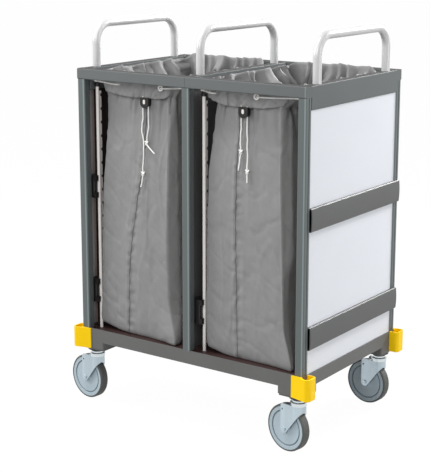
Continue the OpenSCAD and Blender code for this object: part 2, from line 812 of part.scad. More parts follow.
cord_lock(1);  // cord_lock_right
cord_lock_button(0);  // cord_lock_button_left
cord_lock_button(1);  // cord_lock_button_right
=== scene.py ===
import logging
import math
from dataclasses import dataclass
from enum import Enum

import bmesh
import bpy
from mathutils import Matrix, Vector, noise


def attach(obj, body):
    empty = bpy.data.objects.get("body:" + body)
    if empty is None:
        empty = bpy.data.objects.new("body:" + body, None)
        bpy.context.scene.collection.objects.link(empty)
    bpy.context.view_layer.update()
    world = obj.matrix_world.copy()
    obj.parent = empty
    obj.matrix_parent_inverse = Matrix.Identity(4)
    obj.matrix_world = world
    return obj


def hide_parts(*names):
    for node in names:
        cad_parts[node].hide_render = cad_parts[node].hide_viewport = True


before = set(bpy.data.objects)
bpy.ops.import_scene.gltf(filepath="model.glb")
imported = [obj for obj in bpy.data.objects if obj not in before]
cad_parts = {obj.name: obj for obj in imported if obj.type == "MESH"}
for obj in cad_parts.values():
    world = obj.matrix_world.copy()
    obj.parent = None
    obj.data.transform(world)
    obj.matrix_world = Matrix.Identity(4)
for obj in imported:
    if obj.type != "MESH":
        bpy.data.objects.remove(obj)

MM = 0.001
PHOTO_FRAME = (430, 473)
SENSOR_MM = 36.0
CORNERS = ("front_left", "front_right", "rear_left", "rear_right")
WHITE = (1.0, 1.0, 1.0, 1.0)

log = logging.getLogger("linen_trolley")

Colour = tuple[float, float, float, float]
Point = tuple[float, float, float]
Span = tuple[float, float]
Socket = bpy.types.NodeSocket
Value = Socket | float | Colour


def srgb(red: int, green: int, blue: int) -> Colour:
    """Turns a display colour, with channels from 0 to 255, into a linear one.

    Args:
        red: Display red.
        green: Display green.
        blue: Display blue.

    Returns:
        The linear colour with an alpha of 1.
    """
    levels = (value / 255 for value in (red, green, blue))
    return *(v / 12.92 if v <= 0.04045 else ((v + 0.055) / 1.055) ** 2.4 for v in levels), 1.0


def smooth(low: float, high: float, value: float) -> float:
    """Eases from 0 at low to 1 at high.

    Args:
        low: Where the ramp starts.
        high: Where the ramp ends.
        value: The place on it.

    Returns:
        The eased share, from 0 to 1.
    """
    share = min(max((value - low) / (high - low), 0.0), 1.0)
    return share * share * (3 - 2 * share)


def bell(height: float, middle: float, reach: float, at: float) -> float:
    """Reads a bell curve.

    Args:
        height: Its height.
        middle: Where it is highest.
        reach: How wide it is.
        at: The place to read.

    Returns:
        The value there.
    """
    return height * math.exp(-((at - middle) / reach) ** 2)


def spline(knots: list[tuple[float, ...]], at: float) -> list[float]:
    """Reads a smooth curve through rows whose first number is the place.

    Args:
        knots: Rows of numbers in rising order of the first one.
        at: The place to read.

    Returns:
        The other numbers of the row at that place.
    """
    last = len(knots) - 1
    at = min(max(at, knots[0][0]), knots[last][0])
    k = next(i for i in range(last) if at <= knots[i + 1][0])
    rows = [knots[max(k - 1, 0)], knots[k], knots[k + 1], knots[min(k + 2, last)]]
    span = rows[2][0] - rows[1][0]
    t = (at - rows[1][0]) / span
    out = []
    for c in range(1, len(knots[0])):
        slope_in = (rows[2][c] - rows[0][c]) / max(rows[2][0] - rows[0][0], 1e-6) * span
        slope_out = (rows[3][c] - rows[1][c]) / max(rows[3][0] - rows[1][0], 1e-6) * span
        out.append(
            (2 * t ** 3 - 3 * t ** 2 + 1) * rows[1][c] + (t ** 3 - 2 * t ** 2 + t) * slope_in
            + (3 * t ** 2 - 2 * t ** 3) * rows[2][c] + (t ** 3 - t ** 2) * slope_out
        )
    return out


class Side(Enum):
    """The two bays of the trolley."""

    LEFT = "left"
    RIGHT = "right"


class Stretch(Enum):
    """The sides and corners of a bag's ring, in order round it."""

    FRONT = 0
    FRONT_RIGHT = 1
    RIGHT = 2
    REAR_RIGHT = 3
    REAR = 4
    REAR_LEFT = 5
    LEFT = 6
    FRONT_LEFT = 7


class Zone(Enum):
    """The parts of a bag from its floor over the rim to the hem of the cuff."""

    FLOOR = "floor"
    BODY = "body"
    THROAT = "throat"
    RIM = "rim"
    CUFF = "cuff"
    UNDER = "under"


class NodeNet:
    """The nodes of one tree, with ways to add and join them."""

    def __init__(self, tree: bpy.types.NodeTree) -> None:
        """Keeps the tree that the nodes go into."""
        self.tree = tree

    def add(self, kind: str, **settings: object) -> bpy.types.Node:
        """Adds a node.

        Args:
            kind: The node's type.
            settings: Attributes to set on it.

        Returns:
            The new node.
        """
        node = self.tree.nodes.new(kind)
        for key, value in settings.items():
            setattr(node, key, value)
        return node

    def join(self, value: Value, target: Socket) -> None:
        """Links a socket to another one, or sets a number or a colour on it.

        Args:
            value: A socket, a number or a colour.
            target: The socket that gets it.
        """
        if isinstance(value, Socket):
            self.tree.links.new(value, target)
        else:
            target.default_value = value

    def maths(self, operation: str, *values: Value) -> Socket:
        """Adds one sum.

        Args:
            operation: The sum's kind.
            values: Sockets or numbers.

        Returns:
            The result's socket.
        """
        node = self.add("ShaderNodeMath", operation=operation)
        for value, target in zip(values, node.inputs):
            self.join(value, target)
        return node.outputs[0]

    def chain(self, operation: str, *values: Value) -> Socket:
        """Adds one kind of sum over several values, two at a time.

        Args:
            operation: The sum's kind.
            values: Sockets or numbers.

        Returns:
            The result's socket.
        """
        result, *rest = values
        for value in rest:
            result = self.maths(operation, result, value)
        return result

    def coordinates(self, kind: str = "Object") -> Socket:
        """Returns the socket of a kind of texture coordinate."""
        return self.add("ShaderNodeTexCoord").outputs[kind]

    def axes(self, vector: Socket) -> list[Socket]:
        """Splits a vector into its three numbers.

        Args:
            vector: The vector's socket.

        Returns:
            The sockets of X, Y and Z.
        """
        node = self.add("ShaderNodeSeparateXYZ")
        self.join(vector, node.inputs[0])
        return list(node.outputs)

    def speckle(self, vector: Socket, scale: Value, detail: float) -> Socket:
        """Adds a noise.

        Args:
            vector: Where it is read.
            scale: How fine it is.
            detail: How many finer layers it has.

        Returns:
            The socket of its value.
        """
        node = self.add("ShaderNodeTexNoise")
        for key, value in (("Vector", vector), ("Scale", scale), ("Detail", detail)):
            self.join(value, node.inputs[key])
        return node.outputs["Fac"]

    def seen_directly(self) -> Socket:
        """Mask of the rays that should meet a white background.

        Returns:
            The mask's socket.
        """
        path = self.add("ShaderNodeLightPath").outputs
        kinds = ("Is Camera Ray", "Is Glossy Ray", "Is Transmission Ray")
        return self.chain("MAXIMUM", *(path[kind] for kind in kinds))

    def mix(self, share: Socket, low: bpy.types.Node, high: bpy.types.Node) -> Socket:
        """Mixes two shaders.

        Args:
            share: How much of the second one.
            low: The first shader's node.
            high: The second shader's node.

        Returns:
            The mixed shader's socket.
        """
        node = self.add("ShaderNodeMixShader")
        for value, target in zip((share, low.outputs[0], high.outputs[0]), node.inputs):
            self.join(value, target)
        return node.outputs[0]


class Shader(NodeNet):
    """One material with its Principled shader."""

    def __init__(self, name: str) -> None:
        """Makes the material.

        Args:
            name: The material's name.
        """
        self.material = bpy.data.materials.new(name)
        self.material.use_nodes = True
        super().__init__(self.material.node_tree)
        self.tree.nodes.clear()
        self.output = self.add("ShaderNodeOutputMaterial")
        self.surface = self.add("ShaderNodeBsdfPrincipled")
        self.join(self.surface.outputs["BSDF"], self.output.inputs["Surface"])

    def group(self, tree: bpy.types.NodeTree, **values: float) -> bpy.types.Node:
        """Places a shared effect.

        Args:
            tree: The node group.
            values: Numbers for its inputs.

        Returns:
            The group's node.
        """
        node = self.add("ShaderNodeGroup", node_tree=tree)
        for key, value in values.items():
            node.inputs[key].default_value = value
        return node

    def blend(self, share: Value, low: Value, high: Value, mode: str = "MIX") -> Socket:
        """Mixes two colours.

        Args:
            share: How much of the second one.
            low: The first colour or its socket.
            high: The second colour or its socket.
            mode: The way of mixing.

        Returns:
            The mixed colour's socket.
        """
        node = self.add("ShaderNodeMix", data_type="RGBA", blend_type=mode)
        for value, slot in ((share, 0), (low, 6), (high, 7)):
            self.join(value, node.inputs[slot])
        return node.outputs[2]

    def tint(self, colour: Value, tone: Socket) -> Socket:
        """Multiplies a colour by a tone near 1."""
        return self.blend(1.0, colour, tone, "MULTIPLY")

    def coat(self, colour: Socket, roughness: float, level: Socket, swing: float) -> None:
        """Gives the surface its colour and an uneven roughness.

        Args:
            colour: The colour's socket.
            roughness: The mean roughness.
            level: A noise about 0.5.
            swing: How far the roughness follows it.
        """
        self.join(colour, self.surface.inputs["Base Color"])
        rough = self.maths("MULTIPLY_ADD", level, swing, roughness - swing / 2)
        self.join(rough, self.surface.inputs["Roughness"])

    def overlay(self, mask: Socket, colour: Colour, strength: float = 1.0) -> None:
        """Lays a second colour over the surface's own.

        Args:
            mask: Where the second colour goes.
            colour: The second colour.
            strength: How much of it shows there.
        """
        target = self.surface.inputs["Base Color"]
        share = mask if strength == 1.0 else self.maths("MULTIPLY", mask, strength)
        self.join(self.blend(share, target.links[0].from_socket, colour), target)

    def bump(self, height: Socket, strength: float, depth_mm: float) -> None:
        """Gives the surface a relief, over one that it may have.

        Args:
            height: The relief's socket.
            strength: How strong it is.
            depth_mm: How deep it is.
        """
        node = self.add("ShaderNodeBump")
        for key, value in (("Strength", strength), ("Distance", depth_mm * MM), ("Height", height)):
            self.join(value, node.inputs[key])
        normal = self.surface.inputs["Normal"]
        if normal.is_linked:
            self.join(normal.links[0].from_socket, node.inputs["Normal"])
        self.join(node.outputs["Normal"], normal)

    def set(self, **values: object) -> None:
        """Sets plain values on the Principled shader, with _ for a space in a name."""
        for key, value in values.items():
            self.surface.inputs[key.replace("_", " ")].default_value = value

    def within(self, axis: Socket, reach: float) -> Socket:
        """Mask of the places less than a reach from the middle along an axis."""
        return self.maths("LESS_THAN", self.maths("ABSOLUTE", axis), reach)

    def place_axes(self) -> list[Socket]:
        """Returns X, Y and Z on the object."""
        return self.axes(self.coordinates())


class Effect(NodeNet):
    """One shared node group, with its own inputs and outputs."""

    def __init__(self, name: str, inputs: dict[str, float],
                 outputs: tuple[str, ...] = ("Tone", "Height")) -> None:
        """Starts the group.

        Args:
            name: The group's name.
            inputs: Input names and their values.
            outputs: Output names.
        """
        super().__init__(bpy.data.node_groups.new(name, "ShaderNodeTree"))
        for key, value in inputs.items():
            socket = self.tree.interface.new_socket(key, in_out="INPUT", socket_type="NodeSocketFloat")
            socket.default_value = value
        for key in outputs:
            self.tree.interface.new_socket(key, in_out="OUTPUT", socket_type="NodeSocketFloat")
        self.given = self.add("NodeGroupInput").outputs
        self.result = self.add("NodeGroupOutput").inputs

    def swing(self, level: Socket, contrast: str, about: float = 0.5) -> Socket:
        """Scales a level's swing about a middle by one of the inputs.

        Args:
            level: The level's socket.
            contrast: The input's name.
            about: The middle.

        Returns:
            The socket of the scaled swing.
        """
        return self.maths("MULTIPLY", self.maths("SUBTRACT", level, about), self.given[contrast])

    def give(self, height: Socket, swing: Socket | None = None) -> bpy.types.NodeTree:
        """Joins the results.

        Args:
            height: The relief.
            swing: The tone's swing about 1, if the group has a tone.

        Returns:
            The finished group.
        """
        if swing:
            self.join(self.maths("ADD", swing, 1.0), self.result["Tone"])
        self.join(height, self.result["Height"])
        return self.tree


class Effects:
    """Node groups that several finishes share. Each has Height and most have Tone, which is near 1."""

    def __init__(self) -> None:
        """Builds the groups."""
        self.grain = self.make_grain()
        self.weave = self.make_weave()
        self.brushed = self.make_brushed()
        self.crumple = self.make_crumple()

    @staticmethod
    def make_grain() -> bpy.types.NodeTree:
        """Fine moulded grain with slow patches.

        Returns:
            The group.
        """
        net = Effect("fine_grain", {"Scale": 900.0, "Contrast": 0.1, "Patches": 0.06})
        place = net.coordinates()
        fine = net.speckle(place, net.given["Scale"], 2.0)
        slow = net.speckle(place, 7.0, 3.0)
        return net.give(fine, net.maths("ADD", net.swing(fine, "Contrast"), net.swing(slow, "Patches")))

    @staticmethod
    def make_weave() -> bpy.types.NodeTree:
        """Plain weave on a piece's own map, which is in metres.

        Returns:
            The group.
        """
        net = Effect("plain_weave", {"Threads": 700.0, "Contrast": 0.14})
        uv = net.coordinates("UV")
        turns = [net.maths("MULTIPLY", axis, net.given["Threads"]) for axis in net.axes(uv)[:2]]
        waves = [net.maths("SINE", net.maths("MULTIPLY", turn, math.pi)) for turn in turns]
        warp, weft = (net.maths("ABSOLUTE", wave) for wave in waves)
        over = net.maths("GREATER_THAN", net.maths("MULTIPLY", *waves), 0.0)
        under = net.maths("SUBTRACT", 1.0, over)
        height = net.maths("ADD", net.maths("MULTIPLY", warp, over), net.maths("MULTIPLY", weft, under))
        raised = net.maths("ADD", height, net.speckle(uv, 60.0, 4.0))
        return net.give(height, net.swing(raised, "Contrast", about=1.1))

    @staticmethod
    def make_brushed() -> bpy.types.NodeTree:
        """Fine lines along one axis of the object.

        Returns:
            The group.
        """
        along = {"Along X": 900.0, "Along Y": 900.0, "Along Z": 14.0}
        net = Effect("fine_lines", {**along, "Contrast": 0.1})
        scale = net.add("ShaderNodeCombineXYZ")
        for key, target in zip(along, scale.inputs):
            net.join(net.given[key], target)
        stretched = net.add("ShaderNodeVectorMath", operation="MULTIPLY")
        net.join(net.coordinates(), stretched.inputs[0])
        net.join(scale.outputs[0], stretched.inputs[1])
        lines = net.speckle(stretched.outputs[0], 1.0, 2.0)
        return net.give(lines, net.swing(lines, "Contrast"))

    @staticmethod
    def make_crumple() -> bpy.types.NodeTree:
        """Soft crossing creases of handled cloth.

        Returns:
            The group, which has no Tone.
        """
        net = Effect("crumple", {"Scale": 20.0}, ("Height",))
        place = net.coordinates()
        ridges = []
        for lean, tall in ((0.5, 0.4), (-0.7, 0.8)):
            turn = net.add("ShaderNodeMapping")
            net.join(place, turn.inputs["Vector"])
            net.join((0.0, lean, 0.0), turn.inputs["Rotation"])
            net.join((1.0, 1.0, tall), turn.inputs["Scale"])
            level = net.speckle(turn.outputs["Vector"], net.given["Scale"], 1.5)
            ridges.append(net.maths("ABSOLUTE", net.maths("SUBTRACT", level, 0.5)))
        return net.give(net.maths("ADD", *ridges))


@dataclass(frozen=True)
class Moulding:
    """A grained plastic or lacquered finish."""

    name: str
    colour: Colour
    roughness: float = 0.5
    grain: float = 900.0
    contrast: float = 0.12
    patches: float = 0.1
    relief: float = 0.25
    specular: float = 0.4
    rough_swing: float = 0.16
    relief_mm: float = 0.15

    def shade(self, effects: Effects) -> Shader:
        """Makes the finish's material.

        Args:
            effects: The shared node groups.

        Returns:
            The shader, ready for more nodes.
        """
        shader = Shader(self.name)
        grain = shader.group(
            effects.grain, Scale=self.grain, Contrast=self.contrast, Patches=self.patches).outputs
        colour = shader.tint(self.colour, grain["Tone"])
        shader.coat(colour, self.roughness, grain["Height"], self.rough_swing)
        shader.bump(grain["Height"], self.relief, self.relief_mm)
        shader.set(Specular_IOR_Level=self.specular)
        return shader


@dataclass(frozen=True)
class Metal:
    """A metal finish, bare or lacquered, with fine lines."""

    name: str
    colour: Colour
    roughness: float
    lines: Point
    contrast: float
    metallic: float
    rough_swing: float = 0.2
    relief: float = 0.08
    relief_mm: float = 0.02

    def shade(self, effects: Effects) -> Shader:
        """Makes the finish's material.

        Args:
            effects: The shared node groups.

        Returns:
            The shader, ready for more nodes.
        """
        shader = Shader(self.name)
        along = dict(zip(("Along X", "Along Y", "Along Z"), self.lines))
        lines = shader.group(effects.brushed, Contrast=self.contrast, **along).outputs
        colour = shader.tint(self.colour, lines["Tone"])
        shader.coat(colour, self.roughness, lines["Height"], self.rough_swing)
        shader.bump(lines["Height"], self.relief, self.relief_mm)
        shader.set(Metallic=self.metallic)
        return shader


@dataclass(frozen=True)
class Cloth:
    """A woven finish on a piece's own map, with a darker tone from an attribute: sewn lines, painted shade
    in the front seam's groove and painted shadow under the hem.
    """

    name: str
    colour: Colour
    stitch_and_shade: Colour
    threads: float = 700.0
    weave: float = 0.1
    patch_scale: float = 180.0
    mottle: float = 0.06
    patches: float = 0.12
    roughness: float = 0.6
    rough_swing: float = 0.1
    crumple: float = 0.5
    crumple_mm: float = 7.5
    relief: float = 0.25
    relief_mm: float = 0.2
    specular: float = 0.35
    sheen: float = 0.1

    def shade(self, effects: Effects) -> Shader:
        """Makes the finish's material.

        Args:
            effects: The shared node groups.

        Returns:
            The shader.
        """
        shader = Shader(self.name)
        weave = shader.group(effects.weave, Threads=self.threads, Contrast=self.weave).outputs
        patches = shader.group(
            effects.grain, Scale=self.patch_scale, Contrast=self.mottle, Patches=self.patches).outputs
        seam = shader.add("ShaderNodeAttribute", attribute_name="seam").outputs["Fac"]
        cloth = shader.tint(shader.tint(self.colour, weave["Tone"]), patches["Tone"])
        stitch_and_shade = shader.blend(seam, cloth, self.stitch_and_shade)
        shader.coat(stitch_and_shade, self.roughness, patches["Height"], self.rough_swing)
        shader.bump(shader.group(effects.crumple).outputs["Height"], self.crumple, self.crumple_mm)
        shader.bump(weave["Height"], self.relief, self.relief_mm)
        shader.set(Specular_IOR_Level=self.specular, Sheen_Weight=self.sheen, Sheen_Roughness=0.5)
        return shader


@dataclass(frozen=True)
class Marks:
    """Places where a finish, a painted shade or a painted highlight starts on the frame and the castors, in
    metres.
    """

    post_x: float = 0.35
    highlight_off: float = 0.0085
    highlight_half: float = 0.0018
    rail_top: float = 0.9444
    deck: Point = (0.357, 0.237, 0.2095)
    neck_z: float = 0.146
    panel_in: float = 0.3585
    inner_edge_y: float = 0.184
    strip_y: float = 0.2
    strip_half: float = 0.0075
    band_z: Span = (0.311, 0.614)
    band_half: float = 0.0272
    band_in: float = 0.3657
    ring_r: float = 0.046
    ring_half: float = 0.0019


class Paintbox:
    """Every finish of the trolley as a ready material."""

    # Painted highlight for the rounded right corners of the rails and posts.
    painted_highlight: Colour = srgb(148, 158, 160)
    # Painted shade: near-black for the shadowed insides of the hollow bands.
    painted_hollow_shade: Colour = srgb(12, 11, 11)

    def __init__(self) -> None:
        """Makes the materials, most under the first words of the names of the pieces that wear them."""
        self.effects = Effects()
        self.marks = Marks()
        even = (900.0, 900.0, 900.0)
        yellow = Moulding("bumper_yellow", srgb(255, 210, 0), 0.45, 500.0, 0.05, 0.05, 0.1, 0.22)
        rubber = Moulding("tyre_rubber", srgb(83, 85, 83), 0.62, 700.0, 0.12, 0.14, 0.3)
        braid = Moulding("white_cord", srgb(250, 250, 247), 0.8, 1400.0, 0.16, 0.04, 0.5, 0.2)
        zinc = self.plain(Metal("zinc_plate", srgb(186, 200, 208), 0.3, (52.0, 52.0, 3.0), 0.4, 0.7))
        white = self.plain(Moulding("white_moulding", srgb(247, 242, 238), 0.4, 600.0, 0.04, 0.05, 0.1))
        black = self.plain(Moulding("black_moulding", srgb(24, 21, 21), 0.38, 800.0, 0.2, 0.2, 0.2))
        self.worn = {
            "top_rail": self.make_rail(),
            "base_tray": self.make_base(),
            "side_bands": self.make_band(),
            "partition": self.plain(Moulding("partition_grey", srgb(96, 94, 94), 0.6)),
            "post": self.make_post(),
            "bumper": self.plain(yellow),
            "side_panel": self.make_panel(),
            "handle": self.plain(Metal("handle_tube", srgb(203, 203, 204), 0.34, even, 0.04, 0.15)),
            "castor_heads": self.make_head(),
            "castor_fork": zinc,
            "castor_axle": zinc,
            "wheel_tyre": self.plain(rubber),
            "bag_uprights": white,
            "bag_eyelets": white,
            "cord_lock_button": white,
            "upright_brackets": black,
            "cord_hooks": black,
            "cord_lock": black,
        }
        self.cord = self.plain(braid)
        # The cloth's second colour is for sewn lines and for painted shade in the seam's groove and under
        # the hem.
        self.cloth = self.plain(Cloth("bag_cloth", srgb(135, 135, 135), srgb(50, 50, 50)))

    def plain(self, finish: Moulding | Metal | Cloth) -> bpy.types.Material:
        """Returns a finish's material with nothing added."""
        return finish.shade(self.effects).material

    def make_rail(self) -> bpy.types.Material:
        """Grey rail with a painted highlight line at its right corners and painted shade darkening its top.

        Returns:
            The material.
        """
        finish = Moulding("rail_grey", srgb(102, 106, 106), 0.55, patches=0.16, specular=0.15)
        shader = finish.shade(self.effects)
        x, _, z = shader.place_axes()
        # Painted highlight: a light line where the rail's rounded right corner catches the light.
        line = shader.maths("COMPARE", x, self.marks.post_x + self.marks.highlight_off, self.marks.highlight_half)
        shader.overlay(line, self.painted_highlight, 0.4)
        # Painted shade: the rail's top face is coloured darker than its sides.
        shader.overlay(shader.maths("GREATER_THAN", z, self.marks.rail_top), srgb(60, 58, 58))
        return shader.material

    def make_base(self) -> bpy.types.Material:
        """Base moulding, with its deck coloured dark maroon-brown.

        Returns:
            The material.
        """
        shader = Moulding("base_grey", srgb(97, 97, 96), 0.5, patches=0.24).shade(self.effects)
        x, y, z = shader.place_axes()
        deck_x, deck_y, deck_z = self.marks.deck
        raised = shader.maths("GREATER_THAN", z, deck_z)
        deck = shader.chain("MULTIPLY", shader.within(x, deck_x), shader.within(y, deck_y), raised)
        shader.overlay(deck, srgb(58, 40, 39))
        return shader.material

    def make_head(self) -> bpy.types.Material:
        """Zinc race, with painted shade above it: the neck and flange coloured near-black and not metallic.

        Returns:
            The material.
        """
        finish = Metal("castor_head", srgb(214, 222, 226), 0.22, (60.0, 60.0, 260.0), 0.08, 0.8)
        shader = finish.shade(self.effects)
        # Painted shade: the neck and flange just under the base are coloured near-black, where shadow falls
        # on them.
        neck = shader.maths("GREATER_THAN", shader.place_axes()[2], self.marks.neck_z)
        shader.overlay(neck, srgb(26, 26, 27))
        bare = shader.maths("SUBTRACT", 1.0, neck)
        shader.join(shader.maths("MULTIPLY", bare, finish.metallic), shader.surface.inputs["Metallic"])
        return shader.material

    def make_post(self) -> bpy.types.Material:
        """Lacquered post with a painted highlight line near the right edge of each front face.

        Returns:
            The material.
        """
        finish = Metal("post_lacquer", srgb(94, 101, 101), 0.4, (900.0, 900.0, 8.0), 0.1, 0.25)
        shader = finish.shade(self.effects)
        x, marks = shader.place_axes()[0], self.marks
        # Painted highlight: a light line where each post's rounded right corner catches the light.
        middles = (-marks.post_x, 0.0, marks.post_x)
        lines = (shader.maths("COMPARE", x, middle + marks.highlight_off, marks.highlight_half) for middle in middles)
        shader.overlay(shader.chain("MAXIMUM", *lines), self.painted_highlight, 0.6)
        return shader.material

    def make_panel(self) -> bpy.types.Material:
        """White sheet outside, with near-black painted shade behind its bands, and dark brown inside with
        pale edges.

        Returns:
            The material.
        """
        finish = Moulding("panel_white", srgb(222, 225, 231), 0.36, 120.0, 0.03, 0.06, 0.05, 0.4)
        shader = finish.shade(self.effects)
        x, y, z = shader.place_axes()
        inner = shader.within(x, self.marks.panel_in)
        shader.overlay(inner, srgb(66, 52, 51))
        off = shader.maths("ABSOLUTE", y)
        edge = shader.maths("GREATER_THAN", off, self.marks.inner_edge_y)
        shader.overlay(shader.maths("MULTIPLY", inner, edge), srgb(196, 177, 173))
        strip = shader.maths("COMPARE", off, self.marks.strip_y, self.marks.strip_half)
        shader.overlay(shader.maths("MULTIPLY", inner, strip), srgb(214, 212, 210))
        outer = shader.maths("SUBTRACT", 1.0, inner)
        # Painted shade: near-black on the outer face behind the bands, seen through their open ends.
        shader.overlay(shader.maths("MULTIPLY", outer, self.behind_bands(shader, z)), self.painted_hollow_shade)
        return shader.material

    def behind_bands(self, shader: Shader, z: Socket) -> Socket:
        """Mask of the heights inside the two hollow bands, where the painted shade goes.

        Args:
            shader: The finish's shader.
            z: Height.

        Returns:
            The mask's socket.
        """
        half = self.marks.band_half
        masks = (shader.maths("COMPARE", z, level, half) for level in self.marks.band_z)
        return shader.chain("MAXIMUM", *masks)

    def make_band(self) -> bpy.types.Material:
        """Grey band, with near-black painted shade in its hollow.

        Returns:
            The material.
        """
        shader = Moulding("band_grey", srgb(86, 87, 87), 0.5, patches=0.16).shade(self.effects)
        x, _, z = shader.place_axes()
        # Painted shade: near-black on the band's inner faces, inside its hollow.
        deep = shader.within(x, self.marks.band_in)
        shader.overlay(shader.maths("MULTIPLY", deep, self.behind_bands(shader, z)), self.painted_hollow_shade)
        return shader.material

    def hub(self, corner: str, centre: Vector, yaw: float) -> bpy.types.Material:
        """Hub plastic with a darker ring round its own axle.

        Args:
            corner: Which castor.
            centre: Middle of the wheel.
            yaw: Turn of the castor in radians.

        Returns:
            The material.
        """
        finish = Moulding(f"hub_grey_{corner}", srgb(177, 193, 202), 0.42, 700.0, 0.05, 0.08, 0.1)
        shader = finish.shade(self.effects)
        place = shader.add("ShaderNodeMapping", vector_type="TEXTURE")
        turn = (0.0, 0.0, -yaw)
        for key, value in (("Location", centre), ("Rotation", turn), ("Vector", shader.coordinates())):
            shader.join(value, place.inputs[key])
        x, _, z = shader.axes(place.outputs["Vector"])
        square = shader.maths("ADD", shader.maths("MULTIPLY", x, x), shader.maths("MULTIPLY", z, z))
        off_ring = shader.maths("SUBTRACT", shader.maths("SQRT", square), self.marks.ring_r)
        shader.overlay(shader.within(off_ring, self.marks.ring_half), srgb(112, 124, 132), 0.75)
        return shader.material


def finish_mesh(bm: bmesh.types.BMesh, name: str, outward: bool = True) -> bpy.types.Mesh:
    """Turns a bmesh into a smooth mesh.

    Args:
        bm: The bmesh, which is freed.
        name: The mesh's name.
        outward: Whether the normals are recalculated.

    Returns:
        The mesh.
    """
    if outward:
        bmesh.ops.recalc_face_normals(bm, faces=bm.faces)
    for face in bm.faces:
        face.smooth = True
    mesh = bpy.data.meshes.new(name)
    bm.to_mesh(mesh)
    bm.free()
    return mesh


def put_in_scene(name: str, data: bpy.types.ID) -> bpy.types.Object:
    """Makes an object and links it to the scene.

    Args:
        name: The object's name.
        data: Its mesh, curve, lamp or camera.

    Returns:
        The new object.
    """
    thing = bpy.data.objects.new(name, data)
    bpy.context.scene.collection.objects.link(thing)
    return thing


def add_piece(name: str, data: bpy.types.ID, material: bpy.types.Material, body: str,
              replaced: tuple[str, ...] = ()) -> bpy.types.Object:
    """Puts a finished piece into the scene on its body.

    Args:
        name: The piece's name.
        data: Its mesh or curve.
        material: Its finish.
        body: The body that it rides on.
        replaced: CAD nodes that it stands for.

    Returns:
        The new object.
    """
    piece = put_in_scene(name, data)
    data.materials.append(material)
    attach(piece, body)
    if replaced:
        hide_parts(*replaced)
    log.info("%s on %s", name, body)
    return piece


def dress(node: str, material: bpy.types.Material) -> None:
    """Gives a CAD node its finish.

    Args:
        node: The node's name.
        material: The finish.
    """
    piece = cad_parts[node]
    if not piece.material_slots:
        piece.data.materials.append(material)
    for slot in piece.material_slots:
        slot.material = material
    log.info("%s in %s", node, material.name)


def dress_frame(paint: Paintbox) -> None:
    """Gives every CAD node that stays in sight its finish, by the longest start of its name that has one.

    Args:
        paint: The finishes.
    """
    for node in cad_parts:
        match = max((key for key in paint.worn if node.startswith(key)), key=len, default=None)
        if match:
            dress(node, paint.worn[match])


@dataclass(frozen=True)
class Lamp:
    """A square soft lamp: where it hangs and points, its side in metres and its power in watts."""

    name: str
    place: Point
    target: Point
    side: float
    power: float

    def hang(self) -> None:
        """Puts the lamp into the scene."""
        data = bpy.data.lights.new(self.name, "AREA")
        data.size = self.side
        data.energy = self.power
        lamp = put_in_scene(self.name, data)
        lamp.location = self.place
        way = Vector(self.target) - Vector(self.place)
        lamp.rotation_euler = way.to_track_quat("-Z", "Y").to_euler()


LAMPS = (
    Lamp("key", (0.8, -3.2, 2.2), (0.0, 0.0, 0.5), 1.8, 42.0),
    Lamp("left", (-2.6, -1.7, 2.0), (0.0, 0.0, 0.6), 1.2, 44.0),
    Lamp("side", (3.3, 0.5, 1.1), (0.2, 0.0, 0.6), 1.8, 27.0),
    Lamp("top", (-0.7, -0.9, 3.0), (0.0, 0.0, 0.85), 0.6, 38.0),
    Lamp("rear", (0.9, 2.3, 1.9), (0.0, 0.0, 0.9), 0.5, 88.0),
)


@dataclass
class Studio:
    """Camera, lamps, world and floor."""

    place: Point = (1.9366, -2.8266, 1.3119)
    yaw: float = 35.48
    pitch: float = 11.84
    focal_px: float = 1276.1
    shift_px: float = -40.0
    ambient: float = 0.47
    floor_side: float = 40.0
    floor_grey: float = 0.36
    floor_glow: float = 1.05
    glow_share: float = 0.93

    def build(self) -> None:
        """Sets the whole stage."""
        bpy.context.scene.view_settings.view_transform = "Standard"
        self.camera()
        for lamp in LAMPS:
            lamp.hang()
        self.world()
        self.floor()

    def camera(self) -> None:
        """Stands the camera where the photograph was taken from."""
        data = bpy.data.cameras.new("camera")
        data.sensor_width = SENSOR_MM
        data.lens = self.focal_px * SENSOR_MM / max(PHOTO_FRAME)
        data.shift_y = self.shift_px / max(PHOTO_FRAME)
        camera = put_in_scene("camera", data)
        camera.location = self.place
        camera.rotation_euler = (math.radians(90 - self.pitch), 0.0, math.radians(self.yaw))
        bpy.context.scene.camera = camera

    def world(self) -> None:
        """Even pale light all round, white where it is seen."""
        world = bpy.data.worlds.new("studio")
        bpy.context.scene.world = world
        world.use_nodes = True
        net = NodeNet(world.node_tree)
        net.tree.nodes.clear()
        lit, seen = net.add("ShaderNodeBackground"), net.add("ShaderNodeBackground")
        for light, strength in ((lit, self.ambient), (seen, 1.0)):
            light.inputs["Color"].default_value = WHITE
            light.inputs["Strength"].default_value = strength
        out = net.add("ShaderNodeOutputWorld")
        net.join(net.mix(net.seen_directly(), lit, seen), out.inputs["Surface"])

    def floor(self) -> None:
        """Lays a pale floor that keeps a faint shadow."""
        bm = bmesh.new()
        bmesh.ops.create_grid(bm, x_segments=1, y_segments=1, size=self.floor_side / 2)
        mesh = finish_mesh(bm, "floor", outward=False)
        floor = put_in_scene("floor", mesh)
        shader = Shader("floor_white")
        grey = (self.floor_grey, self.floor_grey, self.floor_grey, 1.0)
        shader.set(Base_Color=grey, Roughness=0.9, Specular_IOR_Level=0.1)
        glow = shader.add("ShaderNodeEmission")
        glow.inputs["Strength"].default_value = self.floor_glow
        share = shader.maths("MULTIPLY", shader.seen_directly(), self.glow_share)
        shader.join(shader.mix(share, shader.surface, glow), shader.output.inputs["Surface"])
        mesh.materials.append(shader.material)


